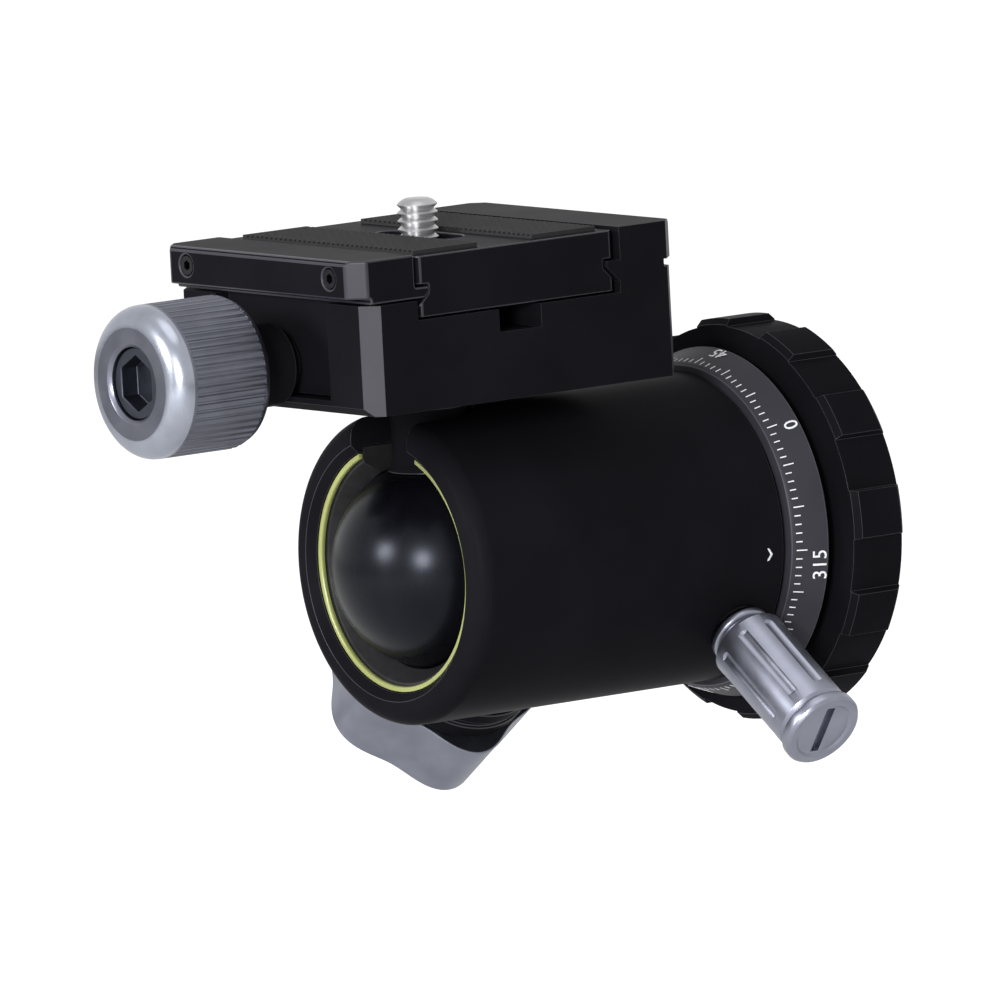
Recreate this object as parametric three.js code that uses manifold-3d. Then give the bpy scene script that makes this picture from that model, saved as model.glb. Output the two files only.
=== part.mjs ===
// Ball head with a screw-knob dovetail clamp, lying along a horizontal bar.
// Millimetres, +Z up. The origin is the centre of the mounting face, +X runs from
// the ball towards the bar, and the ball's stem stands up in the drop notch.

import * as THREE from 'three';
import { mergeVertices } from 'three/addons/utils/BufferGeometryUtils.js';
import Module from 'manifold-3d';

const wasm = await Module();
wasm.setup();

// Clearances shared by every piece
const fit = 0.15;
const slip = 0.3;
const overrun = 1;
const sliver = 0.002;

// Flats round a turned piece
const flats = { large: 48, medium: 28, small: 18, screw: 12 };

// The fixed base, measured forwards from the mounting face
const base = { radius: 24, depth: 12, chamfer: 0.6, shoulderInset: 4, shoulderDepth: 4.9 };
const grip = { rise: 7.2, width: 9.5, setback: 0.5, chamfer: 0.9, recess: 1.1, recesses: 12 };
const scaleRing = { rearRise: 3.2, frontRise: 1.4, width: 6, lip: 0.5 };
const bush = { radius: 7.5, bore: 4.25, depth: 10.5, chamfer: 0.7 };
const pivot = { drumRadius: 12.5, grooveDepth: 0.8, grooveWidth: 8, neckRadius: 6 };
const thrustWasher = { thickness: 1, margin: 0.6 };
const pivotWasher = { radius: 10.5, thickness: 0.8 };
const pivotNut = { radius: 10.5, thickness: 2.8 };
const pivotScrew = { count: 3, pitchRadius: 10.3, radius: 1.3, headRadius: 2.3, headDepth: 2.4, bite: 3.6 };

// The panning housing: a bore round the ball, and pockets behind it for the pivot and its nut
const housing = {
  boreClearance: 3.8, wall: 4.2, fillet: 3, edge: 0.6, lipInset: 0.9, lipDepth: 2.2, lipEdge: 0.5,
  drumPocket: 12, drumClearance: 0.5, web: 3, nutPocketRadius: 13, nutClearance: 0.6,
};
const accent = { setback: 1.35, width: 1.05, depth: 0.8 };
const seat = { lipDepth: 3, bevelInset: 1.4, rearGap: 2 };
const notch = { width: 14, edge: 0.8 };
const cup = { length: 20, rimGap: 2, floorGap: 6.6 };
const wedge = { inner: 12, outer: 14, halfWidth: 8, innerThickness: 4.7, outerThickness: 9.2 };

// The ball and its stem, measured up from the ball's centre
const ball = { radius: 16, setback: 8.4, neckSeat: 14.4, socketRadius: 4.15, socketDepth: 9.4 };
const stem = { radius: 5.8, rootRadius: 6.6, rootHeight: 2.3, flangeRadius: 8, flangeHeight: 1.3, boltDepth: 9 };
const stemBolt = { radius: 3, headRadius: 5, headHeight: 4.6, socket: 2.9, socketDepth: 2.6 };

// The main lock, measured out from the housing's axis
const mainLock = {
  angle: THREE.MathUtils.degToRad(126), stand: 8, bossRadius: 9, bossHeight: 2.2,
  bushRadius: 5.5, screwRadius: 3.5, screwBite: 3.9,
  collarRadius: 13.6, collarLength: 7.3, collarEdge: 1.2,
  valleyRadius: 14, lobeRadius: 16.4, lobes: 5, lobeTurn: THREE.MathUtils.degToRad(24),
  length: 11.2, edge: 1.3, capRadius: 7.8, capDepth: 1.4, capRise: 0.5,
};

// The panning lock, measured the same way
const panLock = {
  angle: THREE.MathUtils.degToRad(-125), stand: 7.15, bushRadius: 4.4, bushLength: 4.9,
  screwRadius: 2.5, screwBite: 5.4, shoeRadius: 3.2, shoeLength: 5.1,
  collarRadius: 5, collarLength: 1.9,
  radius: 6, length: 20, flutes: 8, fluteDepth: 0.45, edge: 0.8,
  capRadius: 6.5, capLength: 2.3, capEdge: 0.5, spigot: 3, slotWidth: 1.5, slotDepth: 1,
};

// The dovetail clamp, measured from the ball's centre with its plate slot along Y
const clamp = {
  length: 49, bottom: 27.2, top: 51, halfWidth: 30.95, cornerCut: 2.4, topCut: 0.6, bottomCut: 1.2,
  kneeShare: 7 / 12, knobInset: 2.25, farInset: 1, grooveHeight: 1.2, grooveDepth: 3,
  floorHeight: 41, channelHalfWidth: 4, channelDepth: 3.5, pocketHeight: 29.2,
  pocketHalfLength: 14, pocketDepth: 8.3, boltSeat: 35.4,
};
const dovetail = { halfWidth: 19.05, footHeight: 1.3, waist: 16.65, waistHeight: 1.3 };
const jaw = {
  legThickness: 5.6, legGap: 0.5, pinRadius: 1.5, pinLength: 16.5, pinSpread: 9.5, pinHeight: 38,
  pinBite: 4.6, screwRadius: 1.5, screwLength: 6.7, screwInset: 6.5, screwDrop: 2.8, socket: 0.8,
};
const clampScrew = { radius: 3, height: 33.9, tip: 8.3, reach: 50, clipRadius: 5, clipWidth: 1.1 };
const clampKnob = {
  collarRadius: 6.3, collarLength: 9.8, neckRadius: 4.4, neckLength: 2.2,
  radius: 11.75, length: 18.6, ribs: 44, ribDepth: 0.4,
  rearRadius: 10, rearTaper: 2, faceRadius: 9.6, faceTaper: 2.2,
  insertRadius: 5.45, insertLength: 4, insertSetback: 0.9, socket: 4.3, socketDepth: 3,
};

// The quick-release plate and its camera screw
const plate = {
  length: 48, deckHalfWidth: 19.3, deckHeight: 4.3, cornerCut: 1.2, edge: 0.5,
  slotHalfWidth: 3.45, slotHalfLength: 9, channelHalfWidth: 7.4, channelHalfLength: 16, channelDepth: 5.3,
};
const pad = { inner: 5.2, outer: 17.4, halfLength: 21.5, recess: 0.6, thickness: 1.1 };
const cameraScrew = { headRadius: 7, headHeight: 4.2, headGap: 0.7, radius: 3.1, length: 10, slot: 1.6, slotDepth: 1.5 };

// Radii that follow from the ball and the base
const shoulderRadius = base.radius - base.shoulderInset;
const gripRadius = base.radius + grip.rise;
const socketRadius = ball.radius + slip;
const boreRadius = ball.radius + housing.boreClearance;
const housingRadius = boreRadius + housing.wall;
const lipRadius = boreRadius - housing.lipInset;

// Stations along the axis, from the mounting face
const shoulderEnd = base.depth + base.shoulderDepth;
const housingRear = shoulderEnd + fit + thrustWasher.thickness + slip;
const webRear = housingRear + housing.drumPocket;
const webFront = webRear + housing.web;
const pivotWasherRear = webFront + slip;
const pivotNutRear = pivotWasherRear + pivotWasher.thickness + fit;
const pivotNutEnd = pivotNutRear + pivotNut.thickness;
const boreFloor = pivotNutEnd + housing.nutClearance;
const wedgeRear = boreFloor + slip;
const cupRear = boreFloor + cup.floorGap;
const cupFront = cupRear + cup.length;
const ballStation = cupFront + cup.rimGap + seat.rearGap / 2;
const ringFace = ballStation + ball.setback;
const housingFront = ringFace + accent.setback;
const lipEnd = housingFront - housing.lipDepth;

// The side locks: their angle round the axis and their station along it
const mainPlace = { angle: mainLock.angle, station: boreFloor + mainLock.stand };
const panPlace = { angle: panLock.angle, station: housingRear + panLock.stand };

// How far the clamp's knob side reaches from the stem
const legOuter = clamp.halfWidth - clamp.knobInset - clamp.pocketDepth + jaw.legGap + jaw.legThickness;
const legInner = legOuter - jaw.legThickness;
const jawScrewSpread = clamp.length / 2 - jaw.screwInset;
const jawScrewHeight = clamp.top - jaw.screwDrop;

const finishes = {
  blackSatin: { color: 0x1c1c20, roughness: 0.48, metalness: 0.65 },
  scaleGrey: { color: 0x55565e, roughness: 0.5, metalness: 0.6 },
  silver: { color: 0xc9ccd6, roughness: 0.32, metalness: 0.95 },
  steel: { color: 0x8d8f94, roughness: 0.4, metalness: 0.95 },
  brass: { color: 0xb08d4a, roughness: 0.4, metalness: 0.9 },
  accent: { color: 0xb4bb4c, roughness: 0.4, metalness: 0.4 },
  ball: { color: 0x0c0c0e, roughness: 0.12, metalness: 0.7 },
  polymer: { color: 0x9a9a98, roughness: 0.6, metalness: 0 },
  rubber: { color: 0x161616, roughness: 0.9, metalness: 0 },
};

// A closed solid with shared corners, no collapsed faces and its faces pointing out
function solid(geometry) {
  const bare = geometry.clone();
  bare.deleteAttribute('normal');
  bare.deleteAttribute('uv');
  const merged = mergeVertices(bare);
  const places = merged.attributes.position;
  const corners = merged.index.array;
  const faces = [];
  const [a, b, c] = [new THREE.Vector3(), new THREE.Vector3(), new THREE.Vector3()];
  let volume = 0;
  for (let i = 0; i < corners.length; i += 3) {
    const [p, q, r] = corners.slice(i, i + 3);
    if (p === q || q === r || r === p) continue;
    faces.push(p, q, r);
    a.fromBufferAttribute(places, p);
    b.fromBufferAttribute(places, q);
    c.fromBufferAttribute(places, r);
    volume += a.dot(b.cross(c));
  }
  if (volume < 0) faces.reverse();
  return new wasm.Manifold(new wasm.Mesh({
    numProp: 3,
    vertProperties: new Float32Array(places.array),
    triVerts: new Uint32Array(faces),
  }));
}

// The geometry of a body with the given tools cut out of it
function carved(body, ...tools) {
  let left = body.isBufferGeometry ? solid(body) : body;
  for (const tool of tools) left = left.subtract(solid(tool));
  return geometryOf(left.simplify(sliver));
}

function joined(first, ...others) {
  let whole = solid(first);
  for (const other of others) whole = whole.add(solid(other));
  return whole;
}

function common(first, second) {
  return solid(first).intersect(solid(second));
}

function geometryOf(manifold) {
  const mesh = manifold.getMesh();
  const geometry = new THREE.BufferGeometry();
  geometry.setAttribute('position', new THREE.BufferAttribute(new Float32Array(mesh.vertProperties), 3));
  geometry.setIndex(new THREE.BufferAttribute(new Uint32Array(mesh.triVerts), 1));
  geometry.computeVertexNormals();
  return geometry;
}

// A solid turned about +Z through [radius, height] corners that start and end on the axis
function turned(corners, sides) {
  const profile = corners.map(([radius, height]) => new THREE.Vector2(radius, height));
  return new THREE.LatheGeometry(profile, sides).rotateX(Math.PI / 2);
}

// The same about a hole, from corners that go once round the section
function ring(corners, sides) {
  return turned([...corners, corners[0]], sides);
}

function rod(radius, from, to, sides) {
  return turned([[0, from], [radius, from], [radius, to], [0, to]], sides);
}

function tube(bore, radius, from, to, sides) {
  return ring([[bore, from], [radius, from], [radius, to], [bore, to]], sides);
}

// Corners along a round stretch of a profile
function arc(centreRadius, centreHeight, radius, from, to, steps) {
  return Array.from({ length: steps + 1 }, (_, i) => {
    const angle = from + (to - from) * i / steps;
    return [centreRadius + radius * Math.cos(angle), centreHeight + radius * Math.sin(angle)];
  });
}

// Corners of a spherical seat about a centre height, between two heights
function bowl(radius, centre, from, to, steps) {
  const angleAt = height => Math.asin((height - centre) / radius);
  return arc(0, centre, radius, angleAt(from), angleAt(to), steps);
}

function polygon(corners) {
  return new THREE.Shape(corners.map(([x, y]) => new THREE.Vector2(x, y)));
}

// An outline whose radius is a function of the angle round it
function polar(count, radiusAt) {
  return polygon(Array.from({ length: count }, (_, i) => {
    const angle = 2 * Math.PI * i / count;
    const radius = radiusAt(angle, i);
    return [radius * Math.cos(angle), radius * Math.sin(angle)];
  }));
}

// A slot outline with round ends, long along its second direction
function slotOutline(halfWidth, halfLength) {
  const straight = halfLength - halfWidth;
  const shape = new THREE.Shape();
  shape.moveTo(halfWidth, -straight);
  shape.lineTo(halfWidth, straight);
  shape.absarc(0, straight, halfWidth, 0, Math.PI, false);
  shape.lineTo(-halfWidth, -straight);
  shape.absarc(0, -straight, halfWidth, Math.PI, 2 * Math.PI, false);
  return shape;
}

// A rectangle with its four corners cut off
function cutRectangle(left, right, halfLength, cut) {
  return polygon([
    [left + cut, -halfLength], [right - cut, -halfLength], [right, cut - halfLength],
    [right, halfLength - cut], [right - cut, halfLength], [left + cut, halfLength],
    [left, halfLength - cut], [left, cut - halfLength],
  ]);
}

function raised(shape, from, to, options = {}) {
  const settings = { depth: to - from, bevelEnabled: false, curveSegments: 8, ...options };
  return new THREE.ExtrudeGeometry(shape, settings).translate(0, 0, from);
}

// A section in X and Z run along Y, centred on the stem
function alongSlot(shape, length) {
  return raised(shape, 0, length).rotateX(Math.PI / 2).translate(0, length / 2, 0);
}

function block(x0, x1, y0, y1, z0, z1) {
  const box = new THREE.BoxGeometry(x1 - x0, y1 - y0, z1 - z0);
  return box.translate((x0 + x1) / 2, (y0 + y1) / 2, (z0 + z1) / 2);
}

// A tool made along +Z, turned to point out of the axis at an angle and a station
function aimed(geometry, place) {
  return geometry.rotateY(Math.PI / 2).rotateZ(place.angle).translate(0, 0, place.station);
}

function piece(name, geometry, finish) {
  const mesh = new THREE.Mesh(geometry, new THREE.MeshStandardMaterial(finishes[finish]));
  mesh.name = name;
  return mesh;
}

// The drop notch: the tool that opens the front and top of a turned shell for the stem
function notchTool(width) {
  const half = width / 2;
  const shape = new THREE.Shape();
  shape.moveTo(ballStation, -half);
  shape.lineTo(housingFront + overrun, -half);
  shape.lineTo(housingFront + overrun, half);
  shape.lineTo(ballStation, half);
  shape.absarc(ballStation, 0, half, Math.PI / 2, 3 * Math.PI / 2, false);
  const prism = raised(shape, 0, housingRadius + overrun);
  return prism.rotateY(-Math.PI / 2).scale(-1, 1, 1);
}

function basePlate() {
  const bore = bush.radius + fit;
  const body = ring([
    [bore, 0], [base.radius - base.chamfer, 0], [base.radius, base.chamfer],
    [base.radius, base.depth], [shoulderRadius, base.depth],
    [shoulderRadius, shoulderEnd], [bore, shoulderEnd],
  ], flats.medium);
  const holes = screwPlaces().flatMap(([x, y]) => [
    rod(pivotScrew.radius + fit, -overrun, shoulderEnd + overrun, flats.screw).translate(x, y, 0),
    rod(pivotScrew.headRadius + fit, -overrun, pivotScrew.headDepth + slip, flats.screw).translate(x, y, 0),
  ]);
  return carved(body, ...holes);
}

function screwPlaces() {
  return Array.from({ length: pivotScrew.count }, (_, i) => {
    const angle = 2 * Math.PI * i / pivotScrew.count;
    return [pivotScrew.pitchRadius * Math.cos(angle), pivotScrew.pitchRadius * Math.sin(angle)];
  });
}

// The scalloped grip: round lands with shallow recesses between them
function gripRing() {
  const pointsPerRecess = 6;
  const outline = polar(grip.recesses * pointsPerRecess, (angle, i) =>
    i % pointsPerRecess < pointsPerRecess / 2 ? gripRadius : gripRadius - grip.recess);
  const from = grip.setback;
  const to = from + grip.width;
  const inner = base.radius + fit;
  const envelope = ring([
    [inner, from], [gripRadius - grip.chamfer, from], [gripRadius, from + grip.chamfer],
    [gripRadius, to - grip.chamfer], [gripRadius - grip.chamfer, to], [inner, to],
  ], grip.recesses * pointsPerRecess);
  return carved(common(envelope, raised(outline, from - overrun, to + overrun)));
}

function scaleBand() {
  const from = base.depth + fit;
  const to = base.depth + scaleRing.width;
  const bore = shoulderRadius + fit;
  const rear = base.radius + scaleRing.rearRise;
  const front = base.radius + scaleRing.frontRise;
  return ring([
    [bore, from], [rear - scaleRing.lip, from], [rear, from + scaleRing.lip],
    [front, to - scaleRing.lip], [front - scaleRing.lip, to], [bore, to],
  ], flats.large);
}

function threadBush() {
  return ring([
    [bush.bore + bush.chamfer, 0], [bush.radius, 0], [bush.radius, bush.depth],
    [bush.bore, bush.depth], [bush.bore, bush.chamfer],
  ], flats.small);
}

function panPivot() {
  const rear = shoulderEnd + fit;
  const front = webRear - slip;
  const grooveFrom = panPlace.station - pivot.grooveWidth / 2;
  const grooveTo = panPlace.station + pivot.grooveWidth / 2;
  const floor = pivot.drumRadius - pivot.grooveDepth;
  const body = turned([
    [0, bush.depth + slip], [bush.radius, bush.depth + slip], [bush.radius, rear],
    [pivot.drumRadius, rear], [pivot.drumRadius, grooveFrom], [floor, grooveFrom + pivot.grooveDepth],
    [floor, grooveTo - pivot.grooveDepth], [pivot.drumRadius, grooveTo], [pivot.drumRadius, front],
    [pivot.neckRadius, front], [pivot.neckRadius, pivotNutEnd], [0, pivotNutEnd],
  ], flats.medium);
  const holes = screwPlaces().map(([x, y]) =>
    rod(pivotScrew.radius + fit, rear - overrun, shoulderEnd + pivotScrew.bite + slip, flats.screw).translate(x, y, 0));
  return carved(body, ...holes);
}

function hexNut() {
  const hexagon = polar(6, () => pivotNut.radius);
  const body = raised(hexagon, pivotNutRear, pivotNutEnd);
  return carved(body, rod(pivot.neckRadius + fit, 0, housingFront, flats.medium));
}

function baseScrew() {
  const head = pivotScrew.headDepth;
  const body = turned([
    [0, fit], [pivotScrew.headRadius, fit], [pivotScrew.headRadius, head],
    [pivotScrew.radius, head], [pivotScrew.radius, shoulderEnd + pivotScrew.bite],
    [0, shoulderEnd + pivotScrew.bite],
  ], flats.screw);
  const socket = raised(polar(6, () => pivotScrew.radius), -overrun, head / 2);
  return carved(body, socket);
}

function housingShell() {
  const { fillet, edge, lipEdge } = housing;
  const radius = housingRadius;
  const drumBore = pivot.drumRadius + housing.drumClearance;
  const pinBore = pivot.neckRadius + slip;
  const bossTop = radius + mainLock.bossHeight;
  const body = joined(ring([
    [drumBore, housingRear], [radius - edge, housingRear], [radius, housingRear + edge],
    ...arc(radius - fillet, housingFront - fillet, fillet, 0, Math.PI / 2, 5),
    [lipRadius + lipEdge, housingFront], [lipRadius, housingFront - lipEdge],
    [lipRadius, lipEnd], [boreRadius, lipEnd], [boreRadius, boreFloor],
    [housing.nutPocketRadius, boreFloor], [housing.nutPocketRadius, webFront],
    [pinBore, webFront], [pinBore, webRear], [drumBore, webRear],
  ], flats.large), aimed(rod(mainLock.bossRadius, boreRadius + overrun, bossTop, flats.medium), mainPlace));
  const bevel = common(notchTool(notch.width + 2 * notch.edge), ring([
    [radius - notch.edge, 0], [radius + overrun, 0],
    [radius + overrun, housingFront + overrun], [radius - notch.edge, housingFront + overrun],
  ], flats.large));
  return carved(
    body,
    notchTool(notch.width),
    geometryOf(bevel),
    aimed(rod(mainLock.bushRadius + fit, boreRadius - overrun, bossTop + overrun, flats.small), mainPlace),
    aimed(rod(panLock.shoeRadius + fit, pivot.drumRadius, radius + overrun, flats.small), panPlace),
    aimed(rod(panLock.bushRadius + fit, radius - panLock.bushLength, radius + overrun, flats.small), panPlace),
  );
}

function accentRing() {
  const outer = lipRadius - fit;
  const from = ringFace - accent.depth;
  return carved(tube(outer - accent.width, outer, from, ringFace, flats.large), notchTool(notch.width));
}

function upperSeat() {
  const outer = boreRadius - fit;
  const front = lipEnd - fit;
  const lip = front - seat.lipDepth;
  const rear = ballStation - seat.rearGap / 2;
  const body = ring([
    [outer, rear], [outer, front], [lipRadius - seat.bevelInset, front],
    ...bowl(socketRadius, ballStation, lip, rear, 5),
  ], flats.medium);
  return carved(body, notchTool(notch.width));
}

// The wedge's block in the lock's own frame, grown on every working face for its pocket
function wedgeBlock(growth, reach) {
  const rear = mainPlace.station - wedgeRear;
  const section = polygon([
    [rear, -wedge.inner - growth], [rear, wedge.outer + reach],
    [rear - wedge.outerThickness - growth - reach * wedgeSlope(), wedge.outer + reach],
    [rear - wedge.innerThickness - growth, -wedge.inner - growth],
  ]);
  const width = 2 * (wedge.halfWidth + growth);
  return raised(section, 0, width).rotateX(Math.PI / 2).translate(0, width / 2, 0);
}

function wedgeSlope() {
  return (wedge.outerThickness - wedge.innerThickness) / (wedge.inner + wedge.outer);
}

function lowerCup() {
  const outer = boreRadius - slip;
  const rim = Math.asin((cupFront - ballStation) / socketRadius);
  const body = turned([
    [0, cupRear], [outer, cupRear], [outer, cupFront],
    ...arc(0, ballStation, socketRadius, rim, -Math.PI / 2, 8).slice(0, -1),
    [0, ballStation - socketRadius],
  ], flats.medium);
  return carved(
    body,
    notchTool(notch.width),
    aimed(wedgeBlock(slip, boreRadius - wedge.outer), mainPlace),
    aimed(rod(mainLock.screwRadius + 2 * slip, wedge.outer, boreRadius + overrun, flats.small), mainPlace),
  );
}

function mainKnob() {
  const { valleyRadius, lobeRadius, lobes, lobeTurn, edge } = mainLock;
  const from = mainKnobStart();
  const to = from + mainLock.length;
  const pointsPerLobe = 10;
  const outline = polar(lobes * pointsPerLobe, angle => {
    const wave = (1 + Math.cos(lobes * (angle - lobeTurn))) / 2;
    return valleyRadius - edge + (lobeRadius - valleyRadius) * wave;
  });
  const body = raised(outline, from + edge, to - edge, {
    bevelEnabled: true, bevelThickness: edge, bevelSize: edge, bevelSegments: 2,
  });
  return carved(
    body,
    rod(mainLock.screwRadius + fit, from - overrun, mainScrewEnd() + slip, flats.small),
    rod(mainLock.capRadius + fit, to - mainLock.capDepth, to + overrun, flats.medium),
  );
}

function mainCollarStart() {
  return housingRadius + mainLock.bossHeight + slip;
}

function mainKnobStart() {
  return mainCollarStart() + mainLock.collarLength + slip;
}

function mainScrewStart() {
  return wedge.outer + slip;
}

function mainScrewEnd() {
  return mainKnobStart() + mainLock.screwBite;
}

function mainCollar() {
  const from = mainCollarStart();
  const to = from + mainLock.collarLength;
  const { collarRadius, collarEdge } = mainLock;
  const bore = mainLock.screwRadius + fit;
  return ring([
    [bore, from], [collarRadius - collarEdge, from], [collarRadius, from + collarEdge],
    [collarRadius, to], [bore, to],
  ], flats.medium);
}

function mainCap() {
  const top = mainKnobStart() + mainLock.length;
  const { capRadius, capDepth, capRise } = mainLock;
  return turned([
    [0, top - capDepth + fit], [capRadius, top - capDepth + fit], [capRadius, top],
    [capRadius - capRise, top + capRise], [0, top + capRise],
  ], flats.medium);
}

function panCollarStart() {
  return housingRadius + slip;
}

function panKnobStart() {
  return panCollarStart() + panLock.collarLength + slip;
}

function panScrewStart() {
  return panShoeStart() + panLock.shoeLength + slip;
}

function panScrewEnd() {
  return panKnobStart() + panLock.screwBite;
}

function panShoeStart() {
  return pivot.drumRadius - pivot.grooveDepth + slip;
}

function panBarrel() {
  const { radius, fluteDepth, flutes, edge } = panLock;
  const from = panKnobStart();
  const to = from + panLock.length;
  const outline = polar(flutes * 4, angle => radius - fluteDepth * (1 - Math.cos(flutes * angle)) / 2);
  const envelope = turned([
    [0, from], [radius - edge, from], [radius, from + edge], [radius, to - edge], [radius - edge, to], [0, to],
  ], flats.large);
  return carved(
    common(envelope, raised(outline, from - overrun, to + overrun)),
    rod(panLock.screwRadius + fit, from - overrun, panScrewEnd() + slip, flats.small),
    rod(panLock.screwRadius + fit, to - panLock.spigot - slip, to + overrun, flats.small),
  );
}

function panCap() {
  const { capRadius, capEdge, capLength, spigot, screwRadius, slotWidth, slotDepth } = panLock;
  const barrelEnd = panKnobStart() + panLock.length;
  const from = barrelEnd + fit;
  const to = from + capLength;
  const body = turned([
    [0, barrelEnd - spigot], [screwRadius, barrelEnd - spigot], [screwRadius, from],
    [capRadius - capEdge, from], [capRadius, from + capEdge], [capRadius, to - capEdge],
    [capRadius - capEdge, to], [0, to],
  ], flats.small);
  const half = slotWidth / 2;
  const reach = capRadius - 2 * capEdge;
  return carved(body, block(-half, half, -reach, reach, to - slotDepth, to + overrun));
}

function ballBody() {
  const neckAngle = Math.asin(ball.neckSeat / ball.radius);
  const neckRadius = ball.radius * Math.cos(neckAngle);
  const sphere = arc(0, 0, ball.radius, -Math.PI / 2, neckAngle, 12).slice(1, -1);
  return turned([
    [0, -ball.radius], ...sphere, [neckRadius, ball.neckSeat], [ball.socketRadius, ball.neckSeat],
    [ball.socketRadius, ball.neckSeat - ball.socketDepth], [0, ball.neckSeat - ball.socketDepth],
  ], flats.medium);
}

function stemPost() {
  const top = clamp.bottom - fit;
  const root = ball.neckSeat + fit;
  const spigotRadius = ball.socketRadius - fit;
  const boltBore = stemBolt.radius + fit;
  const { radius, rootRadius, rootHeight, flangeRadius, flangeHeight } = stem;
  return turned([
    [0, ball.neckSeat - ball.socketDepth + slip], [spigotRadius, ball.neckSeat - ball.socketDepth + slip],
    [spigotRadius, root], [rootRadius, root], [radius, root + rootHeight],
    [radius, top - 2 * flangeHeight], [flangeRadius, top - flangeHeight], [flangeRadius, top],
    [boltBore, top], [boltBore, top - stem.boltDepth], [0, top - stem.boltDepth],
  ], flats.small);
}

function clampBolt() {
  const seatHeight = clamp.boltSeat + fit;
  const head = seatHeight + stemBolt.headHeight;
  const foot = clamp.bottom - fit - stem.boltDepth + slip;
  const body = turned([
    [0, foot], [stemBolt.radius, foot], [stemBolt.radius, seatHeight],
    [stemBolt.headRadius, seatHeight], [stemBolt.headRadius, head], [0, head],
  ], flats.small);
  return carved(body, raised(polar(6, () => stemBolt.socket), head - stemBolt.socketDepth, head + overrun));
}

// Heights of the plate's dovetail, shared by the clamp's noses
const plateFoot = clamp.floorHeight + slip;
const flankFoot = plateFoot + dovetail.footHeight;
const flankTop = flankFoot + dovetail.halfWidth - dovetail.waist;
const deckBottom = flankTop + dovetail.waistHeight;
const deckTop = deckBottom + plate.deckHeight;
const noseReach = dovetail.waist + slip;
const kneeHeight = flankFoot + (flankTop - flankFoot) * clamp.kneeShare;
const noseFlank = flankTop + slip / 2;
const noseTop = deckBottom - slip;
const jawWall = plate.deckHalfWidth + slip;
const slotWall = dovetail.halfWidth + slip;

function clampBlock() {
  const { halfWidth, bottom, top, bottomCut, topCut, grooveHeight, grooveDepth } = clamp;
  const near = halfWidth - clamp.knobInset;
  const far = halfWidth - clamp.farInset;
  const section = polygon([
    [-near + bottomCut, bottom], [far - bottomCut, bottom], [far, bottom + bottomCut],
    [far, kneeHeight], [halfWidth - grooveDepth, kneeHeight],
    [halfWidth - grooveDepth, kneeHeight + grooveHeight], [halfWidth, kneeHeight + grooveHeight],
    [halfWidth, top - topCut], [halfWidth - topCut, top], [jawWall, top],
    [jawWall, noseTop], [noseReach, noseTop], [noseReach, noseFlank],
    [slotWall, noseFlank - slotWall + noseReach], [slotWall, clamp.floorHeight],
    [-slotWall, clamp.floorHeight], [-slotWall, kneeHeight], [-near, kneeHeight],
    [-near, bottom + bottomCut],
  ]);
  const plan = cutRectangle(-near, halfWidth, clamp.length / 2, clamp.cornerCut);
  const body = common(alongSlot(section, clamp.length), raised(plan, bottom - overrun, top + overrun));
  const pocketFloor = near - clamp.pocketDepth;
  const screwHole = rod(clampScrew.radius + fit, clampScrew.tip - slip, near, flats.small);
  const clipPocket = rod(clampScrew.clipRadius + slip, pocketFloor - clampScrew.clipWidth - 2 * slip, near, flats.small);
  const pinHole = side => towardsKnob(
    rod(jaw.pinRadius + slip, legOuter - jaw.pinLength - slip, near, flats.screw), jaw.pinHeight,
  ).translate(0, side * jaw.pinSpread, 0);
  return carved(
    body,
    block(-near - overrun, -pocketFloor, -clamp.pocketHalfLength, clamp.pocketHalfLength,
      clamp.pocketHeight, kneeHeight + overrun),
    block(-clamp.channelHalfWidth, clamp.channelHalfWidth, -clamp.length, clamp.length,
      clamp.floorHeight - clamp.channelDepth, clamp.floorHeight + overrun),
    rod(stemBolt.radius + fit, bottom - overrun, top, flats.small),
    rod(stemBolt.headRadius + fit, clamp.boltSeat, top, flats.small),
    towardsKnob(screwHole, clampScrew.height),
    towardsKnob(clipPocket, clampScrew.height),
    pinHole(1),
    pinHole(-1),
  );
}

// A tool made along +Z, turned to run from the stem towards the knob at a height
function towardsKnob(geometry, height) {
  return geometry.rotateY(-Math.PI / 2).translate(0, 0, height);
}

function movingJaw() {
  const { halfWidth, top, topCut, grooveHeight, grooveDepth, cornerCut } = clamp;
  const sole = kneeHeight + slip;
  const section = polygon([
    [-halfWidth, kneeHeight + grooveHeight], [-halfWidth + grooveDepth, kneeHeight + grooveHeight],
    [-halfWidth + grooveDepth, sole], [-noseReach - noseFlank + sole, sole], [-noseReach, noseFlank],
    [-noseReach, noseTop], [-jawWall, noseTop], [-jawWall, top], [-halfWidth + topCut, top],
    [-halfWidth, top - topCut],
  ]);
  const plan = cutRectangle(-halfWidth, halfWidth, clamp.length / 2, cornerCut);
  const bar = common(alongSlot(section, clamp.length), raised(plan, clamp.bottom, top + overrun));
  const legHalf = clamp.pocketHalfLength - slip;
  const legFoot = clamp.pocketHeight + slip;
  const leg = block(-legOuter, -legInner, -legHalf, legHalf, legFoot, kneeHeight + grooveHeight);
  const pinHole = side => towardsKnob(
    rod(jaw.pinRadius + fit, legInner - overrun, legInner + jaw.pinBite, flats.screw), jaw.pinHeight,
  ).translate(0, side * jaw.pinSpread, 0);
  const screwHole = side => towardsKnob(
    rod(jaw.screwRadius + fit, halfWidth - jaw.screwLength - slip, halfWidth + overrun, flats.screw), jawScrewHeight,
  ).translate(0, side * jawScrewSpread, 0);
  return carved(
    bar.add(solid(leg)),
    towardsKnob(rod(clampScrew.radius + fit, 0, halfWidth, flats.small), clampScrew.height),
    pinHole(1),
    pinHole(-1),
    screwHole(1),
    screwHole(-1),
  );
}

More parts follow.
